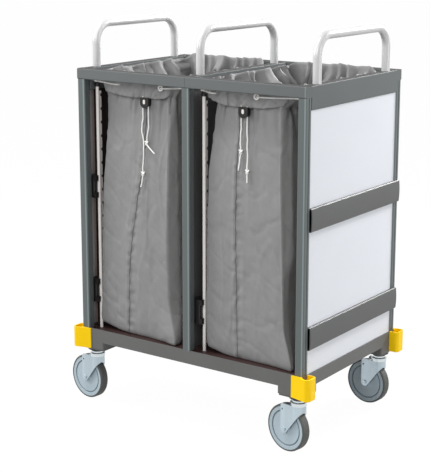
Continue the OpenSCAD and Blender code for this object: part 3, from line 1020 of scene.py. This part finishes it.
@dataclass(frozen=True)
class Fold:
    """A pattern of folds in millimetres: how deep, wide and tall they are, and which pattern it is."""

    depth: float
    wide: float
    tall: float
    seed: float


SLOW_FOLD = Fold(4.5, 85, 420, 0)
MIDDLE_FOLD = Fold(2.6, 32, 120, 5)
FINE_FOLD = Fold(0.8, 16, 46, 9)
RAISED_CREASE = Fold(1.4, 52, 230, 11)
SUNK_CREASE = Fold(1.4, 74, 130, 14)
SEAM_PUCKER = Fold(1.0, 1.0, 12, 3)
RIM_WAVE = Fold(4.0, 45, 4000, 2)
THROAT_FOLD = Fold(1.4, 15, 30, 8)
CUFF_FOLD = Fold(9.0, 24, 34, 7)
CUFF_CREASES = ((0.8, Fold(3.2, 30, 60, 17)), (-0.9, Fold(2.8, 26, 54, 19)))
HEM_WAVE = Fold(1.6, 17, 4000, 6)
REAR_HEM_WAVE = Fold(6.0, 70, 4000, 6)
CREASE_WIDTH = 0.1

FOLD_SLANT = (0.7, 0.5)
CUFF_RANGE = (-7.0, 0.5)

SEAM_STEPS = (-1.6, -0.7, 0.0, 0.7, 1.6)
SEAM_WAVER = (0.008, 19)
SEAM_SWELL = (4.0, 0.5, 0.06)
SEAM_DIP = (1.2, 0.5, 0.05)
SEAM_FLANGE = (2.2, 0.462, 0.022)
SEAM_GROOVE = {0.0: -3.4, 0.7: -2.0, 1.6: 0.3}
# Front seam's dark tone by step off it: its sewn line, with painted shade deepest in the groove.
SEAM_TONE_AND_SHADE = {0.0: 0.95, 0.7: 0.85, 1.6: 0.4}


@dataclass(frozen=True)
class Column:
    """A line of cloth up a bag: its stretch of the ring, its share along it and its step off a seam."""

    stretch: Stretch
    along: float
    off_seam: float | None = None


@dataclass(frozen=True)
class Ring:
    """A rounded rectangle of cloth, level all round: its sizes, corner radius and middle in X."""

    width: float
    depth: float
    radius: float
    middle: float


@dataclass(frozen=True)
class Gathers:
    """The pleats of a bag's mouth, which sway and fade on the way down, in millimetres."""

    count: int = 34
    spread: float = 1.4
    spread_scale: float = 3.1
    sway: float = 0.016
    sway_scale: float = 4.3
    lean: Span = (0.5, 0.3)
    size: Span = (0.7, 0.55)
    edges: Span = (0.3, 1.6)
    rim_depth: float = 10.0
    more_depth: float = 16.0
    deep_at: float = 45.0
    fade_from: float = 60.0
    fade_over: float = 80.0
    front_share: float = 0.28
    left_gain: float = 0.4

    def strength(self, out: Vector) -> float:
        """How strong the pleats are on a side: weak at the front and strongest on the left."""
        back, left = smooth(-0.9, -0.2, out.y), smooth(0.3, 0.9, -out.x)
        return self.front_share + (1 - self.front_share) * back + self.left_gain * left

    def step(self, share: float, drop: float, out: Vector, phase: float) -> float:
        """How far a pleat stands out.

        Args:
            share: Share of the way round.
            drop: Distance below the rim.
            out: The outward direction there.
            phase: Which pattern.

        Returns:
            The step outwards.
        """
        turn = 2 * math.pi * share
        ring = Vector((math.cos(turn), math.sin(turn), 0.0))
        spread = self.spread * noise.noise(ring * self.spread_scale + Vector((phase, 0.0, 0.0)))
        sway = self.sway * drop * noise.noise(ring * self.sway_scale + Vector((0.0, phase, 0.0)))
        place = self.count * share + spread + sway
        which = math.floor(place)
        along = place - which
        spot = Vector((which % self.count + 0.5, phase, 0.5))
        lean = self.lean[0] + self.lean[1] * noise.cell(spot)
        size = self.size[0] + self.size[1] * noise.cell(spot + Vector((0.0, 7.0, 1.0)))
        rise = along / lean if along < lean else (1 - along) / (1 - lean)
        depth = self.rim_depth + self.more_depth * smooth(0.0, self.deep_at, drop)
        fade = math.exp(-max(drop - self.fade_from, 0.0) / self.fade_over)
        return depth * self.strength(out) * (self.edges[0] - self.edges[1] * size * rise) * fade


@dataclass
class BagCloth:
    """A hanging cloth bag with a gathered mouth and a turned-down cuff, in millimetres."""

    side: Side
    body: list[tuple[float, ...]]
    facet: list[Point]
    hem: list[Span]
    cuff: Span
    mouth: Span
    seam: list[Span]
    tugs: list[tuple[float, float, float, float, float, float]]
    phase: float
    tuck: float
    cuff_seam: float
    cuff_depth: float = 414.0
    floor_z: float = 214.0
    calm_z: float = 300.0
    full_z: float = 560.0
    ruffle_z: Span = (700.0, 810.0)
    still_z: Span = (790.0, 870.0)
    front_ruffle_z: Span = (815.0, 875.0)
    neck_z: float = 879.0
    rim_z: float = 943.0
    floor_lift: float = 1.5
    tug_height: float = 110.0
    calm: float = 0.4
    front_calm: float = 0.65
    slack: float = 1.8
    proud: float = 1.0
    full: float = 2.6
    lip: float = 7.0
    lip_drop: float = 3.0
    lip_arch: float = 3.5
    rim_r: float = 28.0
    cuff_r: float = 18.0
    rear_rise: float = 8.0
    front_drop: float = 9.0
    left_drop: float = 2.5
    hem_turn: float = 7.0
    hem_run: float = 170.0
    tuck_run: float = 14.0
    cuff_slack: float = 0.8
    # Painted shadow on the underside of the hem's fold.
    hem_shade: float = 0.6
    cuff_seam_tone: float = 0.5
    seam_end: float = 20.0
    step: float = 5.2
    cloth_t: float = 1.1
    gathers: Gathers = Gathers()
    front_columns: int = 64
    side_columns: int = 56
    corner_columns: int = 6
    girth_m: float = 1.27
    wrap_m: float = 0.6
    flat_m: Span = (1.29, 1.05)

    def columns(self) -> list[Column]:
        """Lists the cloth's lines round the ring, with close ones at the front seam.

        Returns:
            The columns from the left of the front round to it again.
        """
        out: list[Column] = []
        for stretch in Stretch:
            count = self.corner_columns if stretch.value % 2 else self.side_columns
            if stretch is Stretch.FRONT:
                count = self.front_columns
            for k in range(count):
                at_seam = stretch is Stretch.FRONT and k == count // 2
                steps = SEAM_STEPS if at_seam else (None,)
                out += [Column(stretch, k / count, step) for step in steps]
        return out

    def seam_share(self, z: float) -> float:
        """Where the front seam crosses the front at a height, as a share of its width."""
        size, length = SEAM_WAVER
        return spline(self.seam, z)[0] + size * noise.noise(Vector((self.phase, 0.0, z / length)))

    def ring_point(self, column: Column, z: float, ring: Ring) -> tuple[Vector, Vector]:
        """Places one column on a ring.

        Args:
            column: The line of cloth.
            z: Height.
            ring: The ring.

        Returns:
            The point and its outward direction.
        """
        quarter = column.stretch.value // 2
        angle = math.radians(-90 + 90 * quarter)
        out = Vector((math.cos(angle), math.sin(angle), 0.0))
        run = Vector((-math.sin(angle), math.cos(angle), 0.0))
        reach, half = ring.depth / 2, ring.width / 2
        if quarter % 2:
            reach, half = half, reach
        flat = half - ring.radius
        base = Vector((ring.middle, 0.0, z))
        if column.stretch.value % 2:
            turn = math.radians(90 * column.along)
            way = out * math.cos(turn) + run * math.sin(turn)
            return base + out * (reach - ring.radius) + run * flat + way * ring.radius, way
        share = column.along
        if column.stretch is Stretch.FRONT:
            seam = self.seam_share(z)
            share = share * 2 * seam if share <= 0.5 else seam + (share - 0.5) * 2 * (1 - seam)
        step = column.off_seam or 0.0
        return base + out * reach + run * (flat * (2 * share - 1) + step), out

    def body_point(self, column: Column, z: float) -> tuple[Vector, Vector]:
        """Places one column on the body's ring, with the flat fold at its front right edge.

        Args:
            column: The line of cloth.
            z: Height.

        Returns:
            The point and its outward direction.
        """
        depth, radius, width, middle = spline(self.body, z)
        point, out = self.ring_point(column, z, Ring(width, depth, radius, middle))
        across, back = spline(self.facet, z)
        edge = Vector((middle + width / 2, -depth / 2, z))
        if column.stretch is Stretch.FRONT_RIGHT:
            way = Vector((back, -across, 0.0)).normalized()
            return edge + Vector((across, back, 0.0)) * column.along, way
        if column.stretch is Stretch.RIGHT:
            proud = across * (1 - smooth(-depth / 2 + back, depth * 0.2, point.y))
            y = -depth / 2 + back + (depth - radius - back) * column.along
            return Vector((point.x + proud, y, z)), out
        if column.stretch is Stretch.FRONT:
            point.x += (radius - 0.4) * smooth(middle, middle + width / 2 - radius, point.x)
        return point, out

    def level(self, point: Vector, fold: Fold) -> float:
        """Reads a pattern of folds.

        Args:
            point: The place.
            fold: The pattern.

        Returns:
            A value from about -1 to 1.
        """
        seed = self.phase + fold.seed
        across = point.x / fold.wide + seed, point.y / fold.wide - seed
        return noise.noise(Vector((*across, point.z / fold.tall + 2 * seed)))

    def ripple(self, point: Vector, fold: Fold) -> float:
        """How far a soft fold stands out or in at a point."""
        return fold.depth * self.level(point, fold)

    def crease(self, point: Vector, fold: Fold) -> float:
        """How high a narrow crease is at a point: its lines run where the pattern changes sign."""
        return fold.depth * max(0.0, 1 - abs(self.level(point, fold)) / CREASE_WIDTH)

    def folds(self, point: Vector, out: Vector) -> float:
        """How far the body's cloth stands in or out at a point.

        Args:
            point: The place on the plain ring.
            out: The outward direction there.

        Returns:
            The step outwards.
        """
        loose = smooth(self.floor_z, self.calm_z, point.z) * (1 - smooth(*self.still_z, point.z))
        broad = self.ripple(point, SLOW_FOLD) + self.ripple(point, MIDDLE_FOLD)
        slant = Vector((point.x + FOLD_SLANT[0] * point.z, point.y + FOLD_SLANT[1] * point.z, point.z))
        lines = self.crease(point, RAISED_CREASE) - self.crease(slant, SUNK_CREASE)
        share = self.calm + (1 - self.calm) * loose
        step = share * broad + self.ripple(slant, FINE_FOLD) + lines - self.slack
        limit = self.proud if abs(out.y) < 0.9 or point.z > self.full_z else self.full
        return min(step, limit)

    def seam_relief(self, column: Column, point: Vector) -> float:
        """Groove and pucker of the front seam.

        Args:
            column: The line of cloth.
            point: The place on the plain ring.

        Returns:
            The step outwards.
        """
        if column.stretch is not Stretch.FRONT or point.z > self.neck_z - self.seam_end:
            return 0.0
        side = -1.0 if column.along < 0.5 else 1.0
        pucker = self.ripple(Vector((side, 0.0, point.z)), SEAM_PUCKER)
        if column.off_seam is not None:
            return SEAM_GROOVE[abs(column.off_seam)] + 1.6 * pucker
        swell, dip, flange = (bell(*shape, column.along) for shape in (SEAM_SWELL, SEAM_DIP, SEAM_FLANGE))
        return swell * pucker - dip + flange

    def settle(self, point: Vector) -> Vector:
        """Lifts and pulls the bottom corners, each about its own place by a step and with a reach.

        Args:
            point: The place on the cloth.

        Returns:
            The moved place.
        """
        low = 1 - smooth(self.floor_z, self.floor_z + self.tug_height, point.z)
        moved = point.copy()
        for x, y, *pull, reach in self.tugs:
            near = math.exp(-((point.x - x) ** 2 + (point.y - y) ** 2) / reach ** 2)
            moved += Vector(pull) * (near * low)
        return moved

    def pleat(self, share: float, z: float, out: Vector) -> float:
        """How far the mouth's pleats stand out, at a share of the way round and a height."""
        return self.gathers.step(share, max(self.rim_z - z, 0.0), out, self.phase)

    def levels(self) -> list[tuple[Zone, float]]:
        """Lists the rings of cloth from the floor over the rim to the hem.

        Returns:
            Zones with a height or a share.
        """
        count = round((self.neck_z - self.floor_z) / self.step)
        rises = [0.0, 1.0, 3.0, 6.0] + [self.step * k for k in range(2, count + 1)]
        out = [(Zone.FLOOR, share) for share in (0.25, 0.5, 0.75, 0.9)]
        out += [(Zone.BODY, self.floor_z + rise) for rise in rises]
        for zone, count in ((Zone.THROAT, 12), (Zone.RIM, 4), (Zone.CUFF, 16), (Zone.UNDER, 2)):
            out += [(zone, k / count) for k in range(1, count + 1)]
        return out

    def cuff_hem(self, column: Column, point: Vector) -> float:
        """Height of the cuff's lower edge.

        Args:
            column: The line of cloth.
            point: The place on the cuff's ring.

        Returns:
            The height there.
        """
        if column.stretch is Stretch.FRONT:
            return spline(self.hem, point.x)[0] + self.ripple(point, HEM_WAVE)
        front = -self.cuff_depth / 2
        back = smooth(front, front + self.hem_run, point.y)
        right = point.x > self.cuff[1]
        end = self.hem[-1 if right else 0][1]
        tucked = self.tuck * smooth(front, front + self.tuck_run, point.y) if right else 0.0
        rear = self.neck_z + self.ripple(point, REAR_HEM_WAVE)
        return (end + tucked) * (1 - back) + rear * back

    def place(self, zone: Zone, value: float, column: Column, share: float) -> Vector:
        """Places one point of the cloth.

        Args:
            zone: Which part of the bag.
            value: Height or share within it.
            column: The line of cloth.
            share: Share of the way round the ring.

        Returns:
            The point in millimetres.
        """
        if zone is Zone.FLOOR:
            point, _ = self.body_point(column, self.floor_z)
            middle = spline(self.body, self.floor_z)[3]
            x = middle + (point.x - middle) * value
            return self.settle(Vector((x, point.y * value, point.z + self.floor_lift)))
        if zone is Zone.BODY:
            point, out = self.body_point(column, value)
            along = column.along
            fronts = {Stretch.FRONT: 1.0, Stretch.FRONT_RIGHT: 1 - along, Stretch.FRONT_LEFT: along}
            front = fronts.get(column.stretch, 0.0)
            facing = out.lerp(Vector((0.0, -1.0, 0.0)), front)
            ruffle = smooth(*self.ruffle_z, value) * self.pleat(share, value, facing)
            ruffle *= 1 - self.front_calm * front * (1 - smooth(*self.front_ruffle_z, value))
            step = self.folds(point, out) + self.seam_relief(column, point) + ruffle
            return self.settle(point + out * step)
        return self.mouth_point(zone, value, column, share)

    def crest(self, out: Vector) -> float:
        """Height of the rim on a side: highest at the rear and lowest at the front and right.

        Args:
            out: The outward direction there.

        Returns:
            The height without its waves.
        """
        rear, left = smooth(0.2, 0.9, out.y), smooth(0.3, 0.9, -out.x)
        front_right = smooth(0.3, 0.9, max(out.x, -out.y))
        return self.rim_z + self.rear_rise * rear - self.front_drop * front_right - self.left_drop * left

    def mouth_point(self, zone: Zone, value: float, column: Column, share: float) -> Vector:
        """Places one point of the gathered mouth or its cuff.

        Args:
            zone: Which part of the mouth.
            value: Share within it.
            column: The line of cloth.
            share: Share of the way round the ring.

        Returns:
            The point in millimetres.
        """
        mouth_w, mouth_x = self.mouth
        cuff_w, cuff_x = self.cuff
        mouth_d = self.cuff_depth - 2
        top, out = self.ring_point(column, self.rim_z, Ring(mouth_w, mouth_d, self.rim_r + 2, mouth_x))
        pleat = self.pleat(share, self.rim_z, out)
        lip_z = self.crest(out) + self.ripple(top, RIM_WAVE) - 0.35 * pleat - self.lip_drop
        if zone is Zone.THROAT:
            neck, _ = self.body_point(column, self.neck_z)
            grow = smooth(0.0, 0.65, value)
            z = self.neck_z + (lip_z - self.neck_z) * value
            inner = Ring(mouth_w - 2 * self.lip, mouth_d - 2 * self.lip, self.rim_r - 4, mouth_x)
            point, out = self.ring_point(column, z, inner)
            point = Vector((neck.x + (point.x - neck.x) * grow, neck.y + (point.y - neck.y) * grow, z))
            fine = self.ripple(point, THROAT_FOLD)
            return point + out * (self.pleat(share, z + self.rim_z - lip_z, out) + fine * (1 - value))
        if zone is Zone.RIM:
            z = lip_z + self.lip_arch * math.sin(math.pi * value)
            inset = 2 * self.lip * (1 - value)
            ring = Ring(mouth_w - inset, mouth_d - inset, self.rim_r, mouth_x)
            point, out = self.ring_point(column, z, ring)
            return point + out * pleat
        hem_ring = Ring(cuff_w, self.cuff_depth, self.cuff_r, cuff_x)
        hem_point, _ = self.ring_point(column, self.neck_z, hem_ring)
        hem = self.cuff_hem(column, hem_point)
        if zone is Zone.CUFF:
            fall = smooth(0.0, 0.5, value)
            z = lip_z + (hem - lip_z) * value
            ring = Ring(mouth_w + (cuff_w - mouth_w) * fall, mouth_d + (self.cuff_depth - mouth_d) * fall,
                        self.rim_r + (self.cuff_r - self.rim_r) * fall, mouth_x + (cuff_x - mouth_x) * fall)
            point, out = self.ring_point(column, z, ring)
            return point + out * (pleat * (1 - value) ** 1.5 + self.wrinkle(point) * fall)
        inset = self.hem_turn * value
        ring = Ring(cuff_w - inset, self.cuff_depth - inset, self.cuff_r - 1, cuff_x)
        point, out = self.ring_point(column, hem - 1.2 + self.hem_turn * (value - 0.5), ring)
        return point + out * self.wrinkle(point)

    def wrinkle(self, point: Vector) -> float:
        """How far the cuff's cloth stands in or out.

        Args:
            point: The place on the cuff.

        Returns:
            The step outwards.
        """
        lines = 0.0
        for lean, crease in CUFF_CREASES:
            lines += self.crease(Vector((point.x + lean * point.z, point.y, point.z)), crease)
        lowest, highest = CUFF_RANGE
        return min(max(self.ripple(point, CUFF_FOLD) - lines - self.cuff_slack, lowest), highest)

    def stitch_and_shade(self, zone: Zone, column: Column, z: float) -> float:
        """How much of the darker tone a point has: the front seam's line with painted shade in its groove,
        painted shadow under the hem, and the cuff's seam.

        Args:
            zone: Which part of the bag.
            column: The line of cloth.
            z: Height of the point.

        Returns:
            A share from 0 to 1.
        """
        # Front seam: sewn line with painted shade in its groove.
        if zone is Zone.BODY and column.off_seam is not None and z < self.neck_z - 25:
            broken = 0.65 + 0.5 * noise.noise(Vector((self.phase, 2.0, z / 23)))
            return SEAM_TONE_AND_SHADE[abs(column.off_seam)] * min(max(broken, 0.2), 1.0)
        # Painted shadow under the hem's fold.
        if zone is Zone.UNDER:
            return self.hem_shade
        if zone is Zone.CUFF and column.stretch is Stretch.FRONT and z < self.neck_z + 45:
            on_seam = round(column.along * self.front_columns) == round(self.cuff_seam * self.front_columns)
            return self.cuff_seam_tone if column.off_seam is None and on_seam else 0.0
        return 0.0

    def build(self, paint: Paintbox) -> None:
        """Makes the bag and hangs it on its body.

        Args:
            paint: The finishes.
        """
        bm = bmesh.new()
        columns = self.columns()
        count = len(columns)
        seam_layer = bm.verts.layers.float.new("seam")
        map_layer = bm.verts.layers.float_vector.new("cloth_map")
        shares = [k / count for k in range(count)]
        ring: list[bmesh.types.BMVert] = []
        length = 0.0
        for zone, value in self.levels():
            points = [self.place(zone, value, column, share) for column, share in zip(columns, shares)]
            if not ring:
                ring = [bm.verts.new(point * MM) for point in points]
                edges = [bm.edges.new((ring[k], ring[(k + 1) % count])) for k in range(count)]
            else:
                length += (ring[0].co - points[0] * MM).length
                made = bmesh.ops.extrude_edge_only(bm, edges=edges)["geom"]
                new = set(g for g in made if isinstance(g, bmesh.types.BMVert))
                ring = [next(e.other_vert(v) for e in v.link_edges if e.other_vert(v) in new) for v in ring]
                edges = [bm.edges.get((ring[k], ring[(k + 1) % count])) for k in range(count)]
            for vert, point, column, share in zip(ring, points, columns, shares):
                vert.co = point * MM
                vert[seam_layer] = self.stitch_and_shade(zone, column, point.z)
                vert[map_layer] = Vector((share * self.girth_m, length, 0.0))
        first = list(bm.verts)[:count]
        loop = [bm.edges.get((first[k], first[k - 1])) for k in range(count)]
        bmesh.ops.contextual_create(bm, geom=first + loop)
        self.lay_map(bm, map_layer)
        side = self.side.value
        mesh = finish_mesh(bm, f"cloth_{side}")
        bag = add_piece(f"cloth_bag_{side}", mesh, paint.cloth, f"bag_{side}", (f"bag_{side}",))
        wall = bag.modifiers.new("cloth", "SOLIDIFY")
        wall.thickness = self.cloth_t * MM
        wall.offset = -1.0

    def lay_map(self, bm: bmesh.types.BMesh, map_layer: bmesh.types.BMLayerItem) -> None:
        """Copies the cloth's own lengths to its UV map.

        Args:
            bm: The bag.
            map_layer: The lengths round and up the bag.
        """
        uv = bm.loops.layers.uv.new("cloth")
        for face in bm.faces:
            across = [loop.vert[map_layer].x for loop in face.loops]
            wraps = max(across) - min(across) > self.wrap_m
            for loop, x in zip(face.loops, across):
                turned = x + self.girth_m if wraps and x < self.wrap_m else x
                loop[uv].uv = (turned, loop.vert[map_layer].y)


def cord_curve(name: str, diameter: float) -> bpy.types.Curve:
    """Starts a round curve for a cord or a knot.

    Args:
        name: The curve's name.
        diameter: Its thickness in millimetres.

    Returns:
        The curve, without a line yet.
    """
    data = bpy.data.curves.new(name, "CURVE")
    data.dimensions = "3D"
    data.bevel_depth = diameter / 2 * MM
    data.bevel_resolution = 3
    return data


@dataclass
class CordRun:
    """One length of white cord, in millimetres."""

    name: str
    body: str
    node: str
    points: list[Vector]
    far_end: str
    lay: str
    diameter: float = 3.6

    def length(self) -> float:
        """Returns the length along the points."""
        return sum((b - a).length for a, b in zip(self.points, self.points[1:]))

    def build(self, paint: Paintbox, with_pieces: list[bpy.types.Object]) -> None:
        """Makes the cord as one smooth curve.

        Args:
            paint: The finishes.
            with_pieces: Pieces on the cord, such as its knot; not used.
        """
        data = cord_curve(self.name, self.diameter)
        data.resolution_u = 6
        data.use_fill_caps = True
        line = data.splines.new("BEZIER")
        line.bezier_points.add(len(self.points) - 1)
        for knot, point in zip(line.bezier_points, self.points):
            knot.co = point * MM
            knot.handle_left_type = knot.handle_right_type = "AUTO"
        cord = add_piece(self.name, data, paint.cord, self.body, (self.node,))


@dataclass
class Knot:
    """A small pulled-tight overhand knot, in millimetres."""

    name: str
    body: str
    centre: Vector
    size: float = 2.15
    lobe: float = 1.4
    thick: float = 0.8
    tall: float = 1.15
    cord: float = 3.3
    points: int = 36

    def build(self, paint: Paintbox) -> bpy.types.Object:
        """Makes the knot as a closed curve.

        Args:
            paint: The finishes.

        Returns:
            The knot.
        """
        data = cord_curve(self.name, self.cord)
        line = data.splines.new("NURBS")
        line.points.add(self.points - 1)
        line.use_cyclic_u = True
        line.order_u = 4
        for k, knot in enumerate(line.points):
            t = 2 * math.pi * k / self.points
            x = math.sin(t) + self.lobe * math.sin(2 * t)
            z = self.tall * (math.cos(t) - self.lobe * math.cos(2 * t))
            way = Vector((x, -self.thick * math.sin(3 * t), z))
            knot.co = (*((self.centre + way * self.size) * MM), 1.0)
        return add_piece(self.name, data, paint.cord, self.body)


@dataclass
class BagCords:
    """Drawcords and hanging loops of one bag, in millimetres."""

    side: Side
    lock: Span
    routes: dict[str, list[Point]]
    knots: dict[str, Point]
    front: Span
    rear: Span
    pins: Span
    cuff: Span
    hem_z: float = 879.0
    cuff_depth: float = 414.0
    side_eyelet_y: float = 100.0
    eyelet_z: float = 905.0
    side_eyelet_z: float = 899.0
    loop_z: float = 909.0
    pin_y: float = 200.0
    loop_r: float = 7.2
    start: float = 1.9
    bend: float = 8.5
    sunk: Span = (-1.84, -0.86)
    spacing: float = 14.0

    def build(self, paint: Paintbox) -> None:
        """Makes the cords of the bag.

        Args:
            paint: The finishes.
        """
        side = self.side.value
        body = f"bag_{side}"
        hem = Vector((*self.lock, self.hem_z))
        for which, route in self.routes.items():
            knot = Knot(f"knot_{which}_{side}", body, hem + Vector(self.knots[which])).build(paint)
            points = [hem + Vector(point) for point in route]
            name = f"{which}_{side}"
            CordRun(f"cord_{name}", body, f"drawcord_{name}", points, "bare", "hanging").build(paint, [knot])
        for k, way in enumerate((-1, 1)):
            place = "inner" if (way > 0) == (self.side is Side.LEFT) else "outer"
            for end, y, eyelets in (("front", -1, self.front), ("rear", 1, self.rear)):
                end_x = way * eyelets[k]
                path = self.loop(end_x, way, way * self.pins[k])
                if way < 0 and y < 0:
                    hole = (end_x + self.sunk[0], self.cuff_depth / 2 + self.sunk[1], self.eyelet_z)
                    path.insert(0, Vector(hole))
                points = [Vector((way * p.x, y * p.y, p.z)) for p in path]
                name = f"loop_{end}_{place}_{side}"
                CordRun(name, body, f"hanging_cords_{side}", points, "object", "taut").build(paint, [])

    def eyelet_bend(self) -> list[Span]:
        """Lists the bend out of an eyelet.

        Returns:
            Steps along the cloth and away from it.
        """
        turns = [math.radians(a) for a in (135, 123.75, 112.5, 101.25, 90)]
        sink = self.bend * math.sqrt(0.5)
        low = self.start - sink
        return [(sink + self.bend * math.cos(a), low + self.bend * math.sin(a)) for a in turns]

    def touch(self, point: Span, pin: Span, way: int) -> float:
        """Angle at which a line from a point meets the cord's bend about a pin.

        Args:
            point: The point.
            pin: Middle of the pin.
            way: Which side of the pin.

        Returns:
            The angle in radians.
        """
        x, y = point[0] - pin[0], point[1] - pin[1]
        return math.atan2(y, x) + way * math.acos(self.loop_r / math.hypot(x, y))

    def loop(self, end_x: float, way: int, pin_x: float) -> list[Vector]:
        """Path from an end eyelet, over a pin and back to a side eyelet, for a rear right corner.

        Args:
            end_x: Place of the end eyelet.
            way: -1 for the left corners and 1 for the right ones.
            pin_x: Place of the pin.

        Returns:
            The path's points.
        """
        width, middle = self.cuff
        side_x = way * middle + width / 2
        out = [(end_x + a, self.cuff_depth / 2 + b) for a, b in self.eyelet_bend()]
        back = [(side_x + b, self.side_eyelet_y + a) for a, b in self.eyelet_bend()]
        pin = (pin_x, self.pin_y)
        first, last = self.touch(out[-1], pin, -1), self.touch(back[-1], pin, 1)
        if last > first:
            last -= 2 * math.pi
        turns = [first + (last - first) * k / 8 for k in range(9)]
        path = [Vector((x, y, self.eyelet_z)) for x, y in out]
        pin_top = Vector((*pin, self.loop_z))
        bend = [pin_top + Vector((math.cos(a), math.sin(a), 0.0)) * self.loop_r for a in turns]
        path += self.run(path[-1], bend[0]) + bend
        inward = [Vector((x, y, self.side_eyelet_z)) for x, y in reversed(back)]
        return path + self.run(bend[-1], inward[0]) + inward

    def run(self, start: Vector, end: Vector) -> list[Vector]:
        """Lists points that ease along a straight stretch.

        Args:
            start: Where it starts.
            end: Where it ends.

        Returns:
            The points between the two.
        """
        count = max(2, round((end - start).length / self.spacing))
        out = []
        for share in (k / count for k in range(1, count)):
            flat = start.lerp(end, share)
            out.append(Vector((flat.x, flat.y, start.z + (end.z - start.z) * smooth(0.0, 1.0, share))))
        return out


@dataclass
class CastorTrim:
    """Hub finishes of the castors, in degrees and millimetres."""

    yaw: tuple[float, float, float, float] = (7, 10, 6, 5)
    pivot: Span = (334.5, 212.5)
    trail: float = 34.0
    wheel_r: float = 62.5

    def build(self, paint: Paintbox) -> None:
        """Dresses each castor.

        Args:
            paint: The finishes.
        """
        for corner, turn in zip(CORNERS, self.yaw):
            x = self.pivot[0] * (-1 if corner.endswith("left") else 1)
            y = self.pivot[1] * (-1 if corner.startswith("front") else 1)
            a = math.radians(turn)
            wheel = Vector((x - self.trail * math.cos(a), y + self.trail * math.sin(a), self.wheel_r)) * MM
            dress(f"wheel_hub_{corner}", paint.hub(corner, wheel, a))


def strand(x: float, *rest: Point) -> list[Point]:
    """Route of a drawcord's end under its lock: straight down at first, then by the points given."""
    return [(x, 0, z) for z in (-0.3, -12, -24, -36, -48)] + list(rest)


LEFT_BAG = BagCloth(
    Side.LEFT,
    body=[(214, 404, 14, 238, -200), (217, 409, 13, 243, -200), (226, 412, 12, 246, -200),
          (367, 414, 11, 238, -203), (507, 412, 10, 229, -203), (706, 406, 10, 220, -196),
          (812, 396, 10, 216, -190), (879, 394, 10, 215, -188)],
    facet=[(214, 8, 16), (300, 14, 28), (706, 15, 28), (879, 12, 22)],
    hem=[(-303, 887), (-250, 878), (-183, 874), (-110, 876), (-75, 881)],
    cuff=(228, -189), mouth=(280, -178),
    seam=[(214, 0.40), (460, 0.46), (690, 0.62), (879, 0.64)],
    tugs=[(-322, -207, -10, 0, 16, 60), (-78, -207, 26, -16, 0, 38), (-78, 207, 0, 0, 14, 50)],
    phase=1.7, tuck=22.0, cuff_seam=0.52,
)
RIGHT_BAG = BagCloth(
    Side.RIGHT,
    body=[(214, 404, 14, 244, 163), (217, 409, 13, 248, 163), (226, 412, 12, 250, 163),
          (367, 414, 11, 246, 158), (507, 412, 10, 240, 156), (706, 406, 10, 222, 156),
          (812, 396, 10, 210, 160), (879, 394, 10, 206, 161)],
    facet=[(214, 2, 8), (300, 3, 24), (440, 4, 28), (505, 14, 28), (879, 16, 28)],
    hem=[(40, 892), (70, 883), (113, 875), (200, 877), (256, 884), (296, 896)],
    cuff=(256, 168), mouth=(280, 178),
    seam=[(214, 0.395), (500, 0.40), (879, 0.39)],
    tugs=[(38, -207, 0, 0, 13, 46), (286, -207, 24, -9, 0, 36), (38, 207, 0, 0, 12, 50)],
    phase=6.3, tuck=14.0, cuff_seam=0.3,
)
LEFT_CORDS = BagCords(
    Side.LEFT, lock=(-157, -205),
    routes={
        "long": strand(-9, (-9, 0, -59), (-11, -1, -70), (-12, -1, -82), (-12, -2, -94), (-9, -2, -106),
                       (-7, -2, -118), (-6, -2, -130), (-6, -3, -142), (-6, -3, -154), (-7, -3, -166),
                       (-7, -4, -178), (-8, -5, -190), (-8, -5, -200), (-8, -5, -207), (-9, -5, -216),
                       (-10, -5, -224), (-12, -5, -234), (-15, -5, -244)),
        "short": strand(9, (9, 0, -59), (10, -1, -70), (10, -1, -82), (8, -2, -94), (6, -2, -105),
                        (5, -2, -115), (4, -2, -121), (5, -2, -127), (9, -3, -132), (15, -3, -137),
                        (23, -4, -143), (31, -4, -149)),
    },
    knots={"long": (-8, -5, -207), "short": (3, -2, -123)},
    front=(-244, -105), rear=(-250, -110), pins=(-328, -30), cuff=(228, -189),
)
RIGHT_CORDS = BagCords(
    Side.RIGHT, lock=(158, -205),
    routes={
        "short": strand(-9, (-9, 0, -60), (-10, -1, -72), (-10, -1, -84), (-10, -2, -96), (-9, -2, -107),
                        (-9, -2, -116), (-10, -2, -127), (-11, -3, -136), (-12, -3, -146), (-14, -3, -156),
                        (-15, -3, -165)),
        "long": strand(9, (9, 0, -60), (10, -1, -72), (11, -1, -84), (11, -2, -96), (11, -2, -108),
                       (12, -2, -120), (12, -2, -132), (12, -3, -144), (12, -4, -155), (12, -4, -165),
                       (12, -4, -176), (12, -4, -185), (12, -4, -194)),
    },
    knots={"short": (-9, -2, -116), "long": (12, -4, -165)},
    front=(70, 196), rear=(110, 250), pins=(30, 328), cuff=(256, 168),
)


def main() -> None:
    """Builds the stage, the finishes and every soft piece."""
    logging.basicConfig(level=logging.INFO, format="%(message)s")
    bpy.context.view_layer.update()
    Studio().build()
    paint = Paintbox()
    dress_frame(paint)
    for cords in (LEFT_CORDS, RIGHT_CORDS):
        cords.build(paint)
    for bag in (LEFT_BAG, RIGHT_BAG):
        bag.build(paint)
    CastorTrim().build(paint)


if __name__ == "__main__":
    main()
